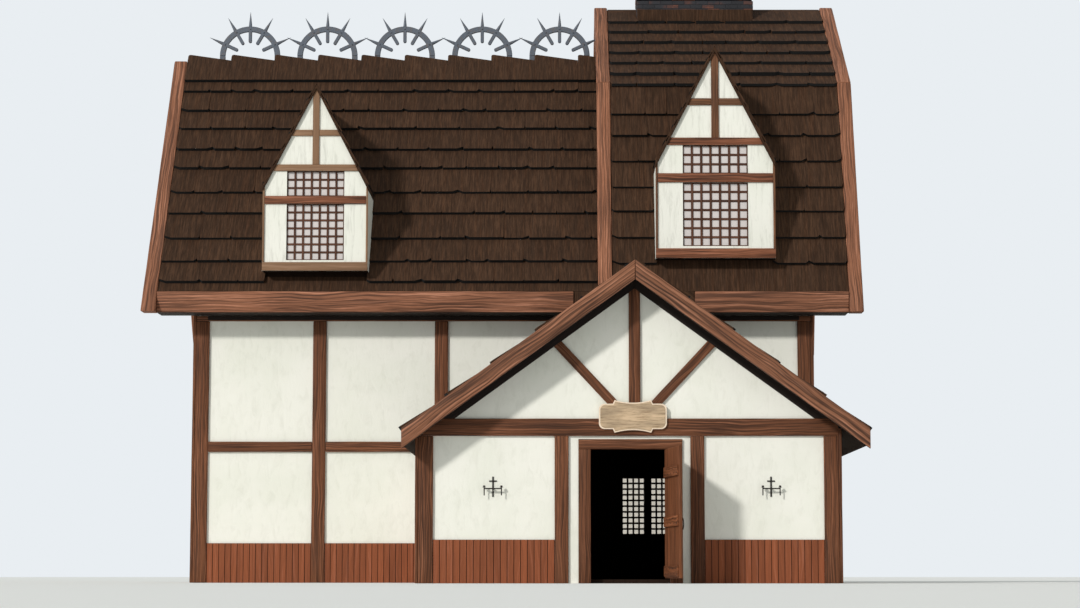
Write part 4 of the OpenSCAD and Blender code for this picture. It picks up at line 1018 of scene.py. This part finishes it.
class HOUSE_OT_shingles(bpy.types.Operator):
    """Shingles every roof slope, course by course"""

    bl_idname = "house.shingles"
    bl_label = "Shingles"

    def execute(self, context):
        sizes = context.scene.house_roof
        slopes = roof_slopes()
        left, lower, upper = (slopes[name] for name in ("left_front", "front_lower", "front_upper"))
        left_low, left_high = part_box("left_roof_front")
        block_low, block_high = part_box("block_roof_front_lower")
        chimney_low, chimney_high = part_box("chimney")

        def left_run(climb):
            end = left_high.x if left.up.z * climb > VERGE_CLEAR else block_low.x - VERGE_WIDE
            return END_GAP, end - END_GAP - left_low.x

        for name, gap in (("left_front", dormer_gap(left, "left")), ("left_rear", None)):
            work = Workpiece(name)
            top = left.rise - 0.1
            lay_courses(work, sizes, slopes[name], left_run, LEFT_COURSES, sizes.butt, gap, top)
            work.finish_roof(name + "_shingles")

        width = block_high.x - lower.foot.x
        face = chimney_low.y + CORBEL
        stack = (chimney_low.x + CORBEL + TUCK - upper.foot.x, chimney_high.x - CORBEL - TUCK - upper.foot.x)
        upper_gap = dormer_gap(upper, "right")

        def round_stack(low, high):
            return [stack] if upper.foot.y + upper.up.y * high > face else []

        def round_both(low, high):
            return round_stack(low, high) + upper_gap(low, high)

        plans = {
            "front_lower": (LOWER_COURSES, sizes.butt, dormer_gap(lower, "right")),
            "front_upper": (UPPER_COURSES, sizes.upper_butt, round_both),
            "rear_lower": (LOWER_COURSES, sizes.butt, None),
            "rear_upper": (UPPER_COURSES, sizes.upper_butt, round_stack),
        }
        for name, (stops, butt, blocked) in plans.items():
            work = Workpiece(name)
            slope = slopes[name]
            lay_courses(work, sizes, slope, lambda climb: (END_GAP, width - END_GAP), stops, butt, blocked)
            if name.endswith("upper"):
                cap_ridge(work, slope, [(END_GAP, stack[0]), (stack[1], width - END_GAP)])
                self.skirt(work, sizes, slope, stack, stops[-1], abs(face))
            work.finish_roof("block_" + name + "_shingles")

        self.wing(sizes)
        self.dormer(sizes, "left", [left])
        self.dormer(sizes, "right", [lower, upper])
        return {"FINISHED"}

    def dormer(self, sizes, side, mains):
        """Thin courses on a dormer's two slopes, sawn off just under the main roof's surface."""
        spots = [v.co for v in NODES["dormer_roofs"].data.vertices if (v.co.x < 0) == (side == "left")]
        ends = min(v.x for v in spots), max(v.x for v in spots)
        front, top = min(v.y for v in spots), max(v.z for v in spots)
        foot = max(v.z for v in spots if v.x < ends[0] + TINY)
        work = Workpiece(side + " dormer")
        for end in ends:
            slope = Slope((end, front, foot), (sum(ends) / 2, front, top), BACK)
            slope.foot -= slope.out * DORMER_SINK

            def main_at(z):
                return next((m for m in mains if z < m.height(m.rise)), mains[-1])

            def run(climb, slope=slope):
                z = slope.height(climb + DORMER_COURSE)
                main = main_at(z)
                return -0.003, main.foot.y + main.up.y * (z - main.foot.z) / main.up.z - front

            def cut(climb, slope=slope):
                main = main_at(slope.height(climb + DORMER_COURSE / 2))
                return main.foot - main.out * 0.02, -main.out

            count = int((slope.rise - LAST_COURSE) / DORMER_COURSE) + 1
            stops = [TINY + DORMER_COURSE * i for i in range(count)]
            lay_courses(work, sizes, slope, run, stops, DORMER_BUTT, top=slope.rise - 0.004, cut=cut)
        work.finish_roof(side + "_dormer_shingles")

    def skirt(self, work, sizes, slope, stack, last, reach):
        """Closes the top course at the chimney, and boards the chimney's foot up to the ridge."""
        count, thick, overlap = 4, 0.045, 0.06
        head = (abs(slope.foot.y) - reach) / abs(slope.up.y) - 0.01
        foot, ridge = slope.height(head) - overlap, slope.height(slope.rise)
        outward = -1 if slope.foot.y < 0 else 1
        near, far = sorted((outward * reach, outward * (reach + thick)))
        wide = (stack[1] - stack[0] + 2 * TUCK) / count
        for i in range(count):
            x = stack[0] - TUCK + wide * i
            shingle(work, sizes, wide - sizes.gap, head - last, sizes.upper_butt, slope.place(x, last))
            start = slope.foot.x + x
            work.box((start, near, foot), (start + wide - sizes.gap, far, ridge - SKIRT_DROP), 0.006)
            work.keep(UP, side=(0, outward, 0))

    def wing(self, sizes):
        """Thick courses on the front wing, whose butts show above the gable boards."""
        # How far they stand out over the gable, and how far they end before the eaves and the main wall
        over, eaves_gap, wall_gap = 0.012, 0.012, 0.055
        for side in ("left", "right"):
            node = "wing_roof_" + side
            low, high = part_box(node)
            foot_x, ridge_x = (low.x, high.x) if side == "left" else (high.x, low.x)
            foot = max(v.co.z for v in NODES[node].data.vertices if abs(v.co.x - foot_x) < TINY)
            slope = Slope((foot_x, low.y, foot), (ridge_x, low.y, high.z), BACK)
            back = high.y - wall_gap - low.y
            front_of_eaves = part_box("eaves")[0].y - eaves_gap - low.y

            def run(climb, slope=slope):
                high_up = slope.height(climb + sizes.wing_exposure) > EAVES_TOP
                return -over, front_of_eaves if high_up else back

            work = Workpiece("wing_" + side)
            count = math.ceil((slope.rise - LAST_COURSE) / sizes.wing_exposure)
            stops = [TINY + sizes.wing_exposure * i for i in range(count)]
            lay_courses(work, sizes, slope, run, stops, sizes.wing_butt)
            cap_ridge(work, slope, [(-over, front_of_eaves)])
            work.finish_roof("wing_" + side + "_shingles")


class HOUSE_OT_comb(bpy.types.Operator):
    """Sets the comb of boards along the left ridge, each cut on the slant"""

    bl_idname = "house.comb"
    bl_label = "Ridge comb"

    def execute(self, context):
        sizes = context.scene.house_roof
        low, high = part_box("ridge_comb")
        slopes = roof_slopes()
        work = Workpiece("comb")
        for name in ("left_front", "left_rear"):
            seen = name == "left_front"
            x = low.x
            while x < high.x - 0.01:
                end = min(high.x, x + sizes.comb_width)
                thick = sizes.comb_thick - work.chance.uniform(0.0, 0.006)
                raised = sizes.comb_up if seen else -0.002
                work.box((0, -sizes.comb_down, 0), (end - x - 0.001, raised, thick))
                for vert in work.part.verts:
                    if vert.co.y < -0.1 and vert.co.z > 0:
                        vert.co.z = sizes.comb_butt - (sizes.comb_thick - thick)
                    if seen and vert.co.y > 0:
                        vert.co.y += sizes.comb_tooth * (1 - vert.co.x / sizes.comb_width)
                if seen:
                    edges = work.part.edges
                    corner = [e for e in edges if all(v.co.x < TINY and v.co.y > 0 for v in e.verts)]
                    work.soften(corner, sizes.comb_round, 3)
                work.soften(work.part.edges[:], 0.003)
                # The boards' butts take the butt coat: painted shade under the comb
                work.second_coat(lambda normal: normal.y < -0.8)
                work.keep(BACK, slopes[name].place(x - low.x, slopes[name].rise), UP)
                x += sizes.comb_width
        work.finish_roof("comb_boards", ["ridge_comb"])
        return {"FINISHED"}


class HOUSE_OT_windows(bpy.types.Operator):
    """Sets panes and lattice bars in the windows"""

    bl_idname = "house.windows"
    bl_label = "Windows"

    def execute(self, context):
        sizes = context.scene.house_joinery
        bars, casing = Workpiece("lattice"), Workpiece("casing")
        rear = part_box("rear_wall_right")[1].y
        glass = {"dormer": Workpiece("dormer panes"), "rear": Workpiece("rear panes")}
        for mesh in solids("window_panes"):
            low, high = span(mesh)
            kind, columns = ("dormer", 7) if low.y < 0 else ("rear", 4)
            glass[kind].box(low, high)
            glass[kind].keep(RIGHT)
            if kind == "rear":
                self.case(casing, low, high, rear)
            pitch = (high.x - low.x) / columns
            rows = round((high.z - low.z) / pitch)
            middle = (low.y + high.y) / 2
            wide = sizes.lattice_bar * (1.0 if pitch > 0.15 else 0.9)
            depth = sizes.lattice_depth
            for deep, lines, axis in ((depth, columns, 0), (depth - 0.012, rows, 2)):
                for i in range(lines + 1):
                    a, b = low.copy(), high.copy()
                    spot = low[axis] + (high[axis] - low[axis]) * i / lines
                    a[axis] = max(low[axis], spot - wide / 2)
                    b[axis] = min(high[axis], spot + wide / 2)
                    a.y, b.y = middle - deep / 2, middle + deep / 2
                    bars.box(a, b, 0.004)
                    bars.keep(UP if axis == 0 else RIGHT)
        bars.finish("lattice_bars", "lattice", "timber")
        casing.finish("rear_casings", "timber", "timber")
        glass["dormer"].finish("dormer_panes", "dormer glass", "pane", replaced=["window_panes"])
        glass["rear"].finish("rear_panes", "rear glass", "pane")
        return {"FINISHED"}

    def case(self, work, low, high, face):
        """Jambs, head and sill round one rear light, on the wall's outer face."""
        wide, head, sill, proud = 0.058, 0.075, 0.055, 0.028
        for x0, x1, z0, z1, out, grain in (
            (low.x - wide, low.x, low.z, high.z, proud, UP),
            (high.x, high.x + wide, low.z, high.z, proud, UP),
            (low.x - wide, high.x + wide, high.z, high.z + head, proud + 0.004, RIGHT),
            (low.x - wide, high.x + wide, low.z - sill, low.z, proud + 0.022, RIGHT),
        ):
            work.box((x0, face, z0), (x1, face + out, z1), 0.005)
            work.keep(grain, side=BACK)


class HOUSE_OT_door(bpy.types.Operator):
    """Builds the ledged door of boards, battens and nails, with its ironwork"""

    bl_idname = "house.door"
    bl_label = "Door"

    def execute(self, context):
        sizes = context.scene.house_joinery
        # The leaf is made closed, its hinge side and front face this far from the pins, and then turned
        right, face = -0.009, 0.049
        left, back = right - sizes.leaf_width, face + sizes.leaf_thick
        # The battens' feet, height, thickness and distance from the leaf's sides, and the nails' radius
        feet, batten, proud, margin, nail = (0.105, 0.870, 1.635), 0.165, 0.030, 0.06, 0.011
        swing = math.radians(-DOOR["range_deg"][0])
        open_door = Matrix.Translation(DOOR["pos_m"]) @ Matrix.Rotation(swing, 4, "Z")
        count = 5
        board = sizes.leaf_width / count
        work = Workpiece("leaf")
        for i in range(count):
            a = left + board * i
            work.box((a, face, sizes.leaf_foot), (a + board, back, sizes.leaf_top), sizes.groove)
            work.keep(UP, open_door)
        nails = []
        for z in feet:
            work.box((left + margin, back - 0.004, z), (right - margin, back + proud, z + batten), 0.007)
            work.keep(RIGHT, open_door)
            for i in range(count):
                nails += [(left + board * (i + 0.28), z + 0.045), (left + board * (i + 0.72), z + 0.120)]
        work.finish("door_boards", "door", "door", "door", ["door_leaf"])
        studs = Workpiece("nails")
        for x, z in nails:
            bmesh.ops.create_icosphere(studs.part, subdivisions=2, radius=nail)
            for vert in studs.part.verts:
                vert.co.y = max(-0.001, vert.co.y * 0.5)
            studs.keep(UP, open_door @ Matrix.Translation((x, back + proud, z)))
        studs.finish("door_nails", "iron", "iron", "door")
        for name, node, body in (
            ("strap_irons", "strap_hinges", "door"),
            ("ring_iron", "door_ring", "door"),
            ("hinge_irons", "hinge_pins", "house"),
        ):
            dress(name, "iron", "iron", node, 0.0015, body=body)
        return {"FINISHED"}


class HOUSE_OT_cresting(bpy.types.Operator):
    """Forges the row of spiked half wheels on the left ridge"""

    bl_idname = "house.cresting"
    bl_label = "Ridge cresting"

    def execute(self, context):
        sizes = context.scene.house_roof
        low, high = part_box("ridge_cresting")
        middle, half = (low.y + high.y) / 2, (high.y - low.y) / 2
        work = Workpiece("cresting")
        foot, radius = sizes.wheel_foot, sizes.wheel_radius
        spots = [sizes.wheel_first - i * sizes.wheel_pitch for i in range(5)]
        # Top of the bar that the half wheels stand on, its height, and half the width of the posts under it
        bar, thick, post = foot - 0.13, 0.05, 0.04
        work.box((spots[-1] - radius, low.y, bar - thick), (high.x, high.y, bar), 0.008)
        work.keep(RIGHT)
        for x in spots:
            centre = Vector((x, middle, foot))
            work.box((x - post, low.y, low.z), (x + post, high.y, bar - 0.01), 0.008)
            work.keep(UP)
            for end in (x - radius, x + radius - sizes.wheel_rim):
                if end < high.x:
                    work.box((end, low.y, bar - 0.01), (end + sizes.wheel_rim, high.y, foot + 0.004), 0.009)
                    work.keep(UP)
            self.rim(work, centre, radius, sizes.wheel_rim, half)
            for degrees in (-65, -30, 0, 30, 65):
                turn = Matrix.Translation(centre) @ Matrix.Rotation(math.radians(degrees), 4, "Y")
                self.spike(work, sizes, half, turn)
        saw(work.whole, (high.x, 0, 0), RIGHT)
        work.finish("cresting_iron", "cresting", "crest_iron", replaced=["ridge_cresting"])
        return {"FINISHED"}

    def rim(self, work, centre, radius, rim, half):
        """Half a flat hoop, from one side over the top to the other."""
        part = work.part
        start = Matrix.Translation(centre + Vector((radius - rim / 2, 0, 0)))
        place = start @ Matrix.Diagonal((rim, 2 * half, 1, 1))
        made = bmesh.ops.create_grid(part, x_segments=1, y_segments=1, size=0.5, matrix=place)["verts"]
        geom = made + list({f for v in made for f in v.link_faces})
        bmesh.ops.spin(part, geom=geom, cent=centre, axis=FRONT, angle=math.pi, steps=36, use_merge=False)
        bmesh.ops.recalc_face_normals(part, faces=part.faces[:])
        work.soften(work.crisp(), 0.009)
        work.keep(BACK)

    def spike(self, work, sizes, half, turn):
        """A flat bar with a round inner end and a drawn-out point, riveted to the rim."""
        part = work.part
        wide, shoulder, face = sizes.spike_wide / 2, sizes.wheel_radius + 0.01, half * 1.1
        work.box((-wide, -face, sizes.spike_inner), (wide, face, shoulder))
        ends = [e for e in part.edges if all(v.co.z < sizes.spike_inner + TINY for v in e.verts)]
        work.soften([e for e in ends if abs(e.verts[0].co.x - e.verts[1].co.x) < TINY], wide * 0.9, 4)
        work.soften(work.crisp(), 0.007)
        work.keep(UP, turn)
        tip = Matrix.Translation((0, 0, (shoulder + sizes.spike_outer) / 2))
        tip = tip @ Matrix.Diagonal((1, half / wide, 1, 1))
        point = {"radius1": wide * 1.04, "radius2": 0.002, "depth": sizes.spike_outer - shoulder}
        bmesh.ops.create_cone(part, cap_ends=True, segments=8, matrix=tip, **point)
        work.keep(UP, turn)
        for side in (-face, face):
            spot = Matrix.Translation((0, side, sizes.wheel_radius - sizes.wheel_rim / 2))
            bmesh.ops.create_icosphere(part, subdivisions=1, radius=0.016, matrix=spot)
            work.keep(UP, turn)


class HOUSE_OT_ironwork(bpy.types.Operator):
    """Finishes the wall irons"""

    bl_idname = "house.ironwork"
    bl_label = "Wall irons"

    def execute(self, context):
        dress("wall_irons", "iron", "iron", "wall_sconces", 0.002)
        return {"FINISHED"}


class HOUSE_OT_plaque(bpy.types.Operator):
    """Carves the blank plaque over the door, with its pale rim"""

    bl_idname = "house.plaque"
    bl_label = "Plaque"

    def execute(self, context):
        rim, proud = 0.022, 0.005
        work = Workpiece("plaque")
        for mesh in solids("sign_plaque"):
            low, high = span(mesh)
            size = high - low
            about = Matrix.Translation((low + high) / 2)
            shrink = Matrix.Diagonal((1 - 2 * rim / size.x, 1, 1 - 2 * rim / size.z, 1))
            panel = Matrix.Translation((0, -proud, 0)) @ about @ shrink @ about.inverted()
            for border in (True, False):
                work.part.from_mesh(mesh)
                if border:
                    work.second_coat()
                else:
                    bmesh.ops.transform(work.part, matrix=panel, verts=work.part.verts[:])
                work.soften(work.crisp(), 0.003)
                work.keep(RIGHT, side=FRONT)
        work.finish("plaque_board", "plaque", "plaque", replaced=["sign_plaque"], more="rim")
        return {"FINISHED"}


class HOUSE_OT_chimney(bpy.types.Operator):
    """Lays the chimney's bricks over its mortar core"""

    bl_idname = "house.chimney"
    bl_label = "Chimney"

    def execute(self, context):
        sizes = context.scene.house_joinery
        coat_node("chimney", "mortar")
        low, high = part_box("chimney")
        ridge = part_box("block_roof_front_upper")[1].z
        work = Workpiece("chimney")
        # The stack, the recessed course at its foot and the two corbels, each (foot, head, step out or in)
        bands = [
            (ridge - 0.45, ridge + 0.07, 0.0),
            (ridge + 0.07, ridge + 0.14, -0.1),
            (ridge + 0.14, high.z - 0.26, 0.0),
            (high.z - 0.26, high.z - 0.17, 0.05),
            (high.z - 0.17, high.z, 0.1),
        ]
        course = 0
        for foot, head, step in bands:
            count = max(1, round((head - foot) / (sizes.brick_high + sizes.mortar)))
            rise, grow = (head - foot) / count, step - CORBEL
            for i in range(count):
                near = (low.x - grow, low.y - grow, foot + rise * i + sizes.mortar / 2)
                far = (high.x + grow, high.y + grow, foot + rise * (i + 1) - sizes.mortar / 2)
                self.ring(work, sizes, near, far, course)
                course += 1
        work.finish("chimney_bricks", "brick", "brick")
        return {"FINISHED"}

    def ring(self, work, sizes, low, high, course):
        """One course of bricks round the four faces."""
        proud, deep = 0.008, 0.03
        for run, thin, grain in ((0, 1, RIGHT), (1, 0, BACK)):
            first, last = low[run] + deep * run, high[run] - deep * run
            start = first - (sizes.brick_long / 2 if course % 2 else 0)
            while start < last - 0.02:
                ends = max(first, start), min(last, start + sizes.brick_long)
                start += sizes.brick_long + sizes.mortar
                if ends[1] - ends[0] < 0.03:
                    continue
                for near in (True, False):
                    jut = proud * work.chance.uniform(0.5, 1.0)
                    a, b = list(low), list(high)
                    a[run], b[run] = ends
                    if near:
                        a[thin], b[thin] = low[thin] - jut, low[thin] + deep
                    else:
                        a[thin], b[thin] = high[thin] - deep, high[thin] + jut
                    work.box(a, b, 0.004)
                    work.keep(grain)


class HOUSE_OT_stage(bpy.types.Operator):
    """Sets the floor, backdrop, lamp and camera"""

    bl_idname = "house.stage"
    bl_label = "Stage"

    def execute(self, context):
        scene = context.scene
        stage, tints = scene.house_stage, scene.house_colours
        ground = bmesh.new()
        bmesh.ops.create_circle(ground, cap_ends=True, radius=FLOOR_RADIUS, segments=96)
        mesh = bpy.data.meshes.new("stage_floor")
        ground.to_mesh(mesh)
        ground.free()
        paint = {"Base Color": tuple(tints.floor), "Roughness": 0.9}
        mesh.materials.append(close(begin("stage floor")[0], paint))
        floor = bpy.data.objects.new("stage_floor", mesh)
        scene.collection.objects.link(floor)

        # The camera and the reflections see the backdrop, and the house gets the even light
        scene.world = bpy.data.worlds.new("studio")
        scene.world.use_nodes = True
        tree = scene.world.node_tree
        tree.nodes.clear()
        seen = add(tree, "LightPath", out="Is Camera Ray")
        rays = seen.node.outputs
        for ray in ("Is Glossy Ray", "Is Transmission Ray"):
            seen = add(tree, "Math", {0: seen, 1: rays[ray]}, operation="MAXIMUM")
        light = add(tree, "Background", {"Color": (0.95, 1.0, 0.98, 1), "Strength": stage.sky})
        wall = add(tree, "Background", {"Color": tuple(tints.backdrop), "Strength": 1.0})
        add(tree, "OutputWorld", {"Surface": add(tree, "MixShader", {0: seen, 1: light, 2: wall})})

        lamp = bpy.data.lights.new("key", "SUN")
        lamp.energy = stage.lamp
        lamp.angle = math.radians(5)
        lamp.color = (1.0, 0.975, 0.94)
        key = bpy.data.objects.new("key", lamp)
        key.rotation_euler = (math.pi / 2 - stage.lamp_high, 0, -stage.lamp_left)
        scene.collection.objects.link(key)

        view = bpy.data.cameras.new("camera")
        view.lens = stage.lens
        view.sensor_width = 36.0
        view.clip_start, view.clip_end = 1.0, 4000.0
        view.shift_x, view.shift_y = stage.shift
        camera = bpy.data.objects.new("camera", view)
        camera.location = stage.eye
        camera.rotation_euler = (math.pi / 2 + stage.tilt, 0, 0)
        scene.collection.objects.link(camera)
        scene.camera = camera
        scene.view_settings.view_transform = "Standard"
        return {"FINISHED"}


STEPS = (
    HOUSE_OT_walls,
    HOUSE_OT_timbers,
    HOUSE_OT_panelling,
    HOUSE_OT_plates,
    HOUSE_OT_shingles,
    HOUSE_OT_comb,
    HOUSE_OT_windows,
    HOUSE_OT_door,
    HOUSE_OT_cresting,
    HOUSE_OT_ironwork,
    HOUSE_OT_plaque,
    HOUSE_OT_chimney,
    HOUSE_OT_stage,
)
GROUPS = {
    "house_colours": HouseColours,
    "house_roof": HouseRoof,
    "house_joinery": HouseJoinery,
    "house_stage": HouseStage,
}


class HOUSE_PT_panel(bpy.types.Panel):
    """Lists the steps and sizes of the house in the sidebar"""

    bl_idname = "HOUSE_PT_panel"
    bl_label = "Half timbered house"
    bl_space_type = "VIEW_3D"
    bl_region_type = "UI"
    bl_category = "House"

    def draw(self, context):
        for step in STEPS:
            self.layout.operator(step.bl_idname)
        for name, group in GROUPS.items():
            box = self.layout.box()
            for key in group.__annotations__:
                box.prop(getattr(context.scene, name), key)


CLASSES = (*GROUPS.values(), *STEPS, HOUSE_PT_panel)


def register():
    for cls in CLASSES:
        bpy.utils.register_class(cls)
    for name, group in GROUPS.items():
        setattr(bpy.types.Scene, name, bpy.props.PointerProperty(type=group))


def unregister():
    for name in GROUPS:
        delattr(bpy.types.Scene, name)
    for cls in reversed(CLASSES):
        bpy.utils.unregister_class(cls)


def main():
    register()
    make_coats(bpy.context.scene.house_colours)
    for step in STEPS:
        group, name = step.bl_idname.split(".")
        getattr(getattr(bpy.ops, group), name)()
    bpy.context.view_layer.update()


if __name__ == "__main__":
    main()
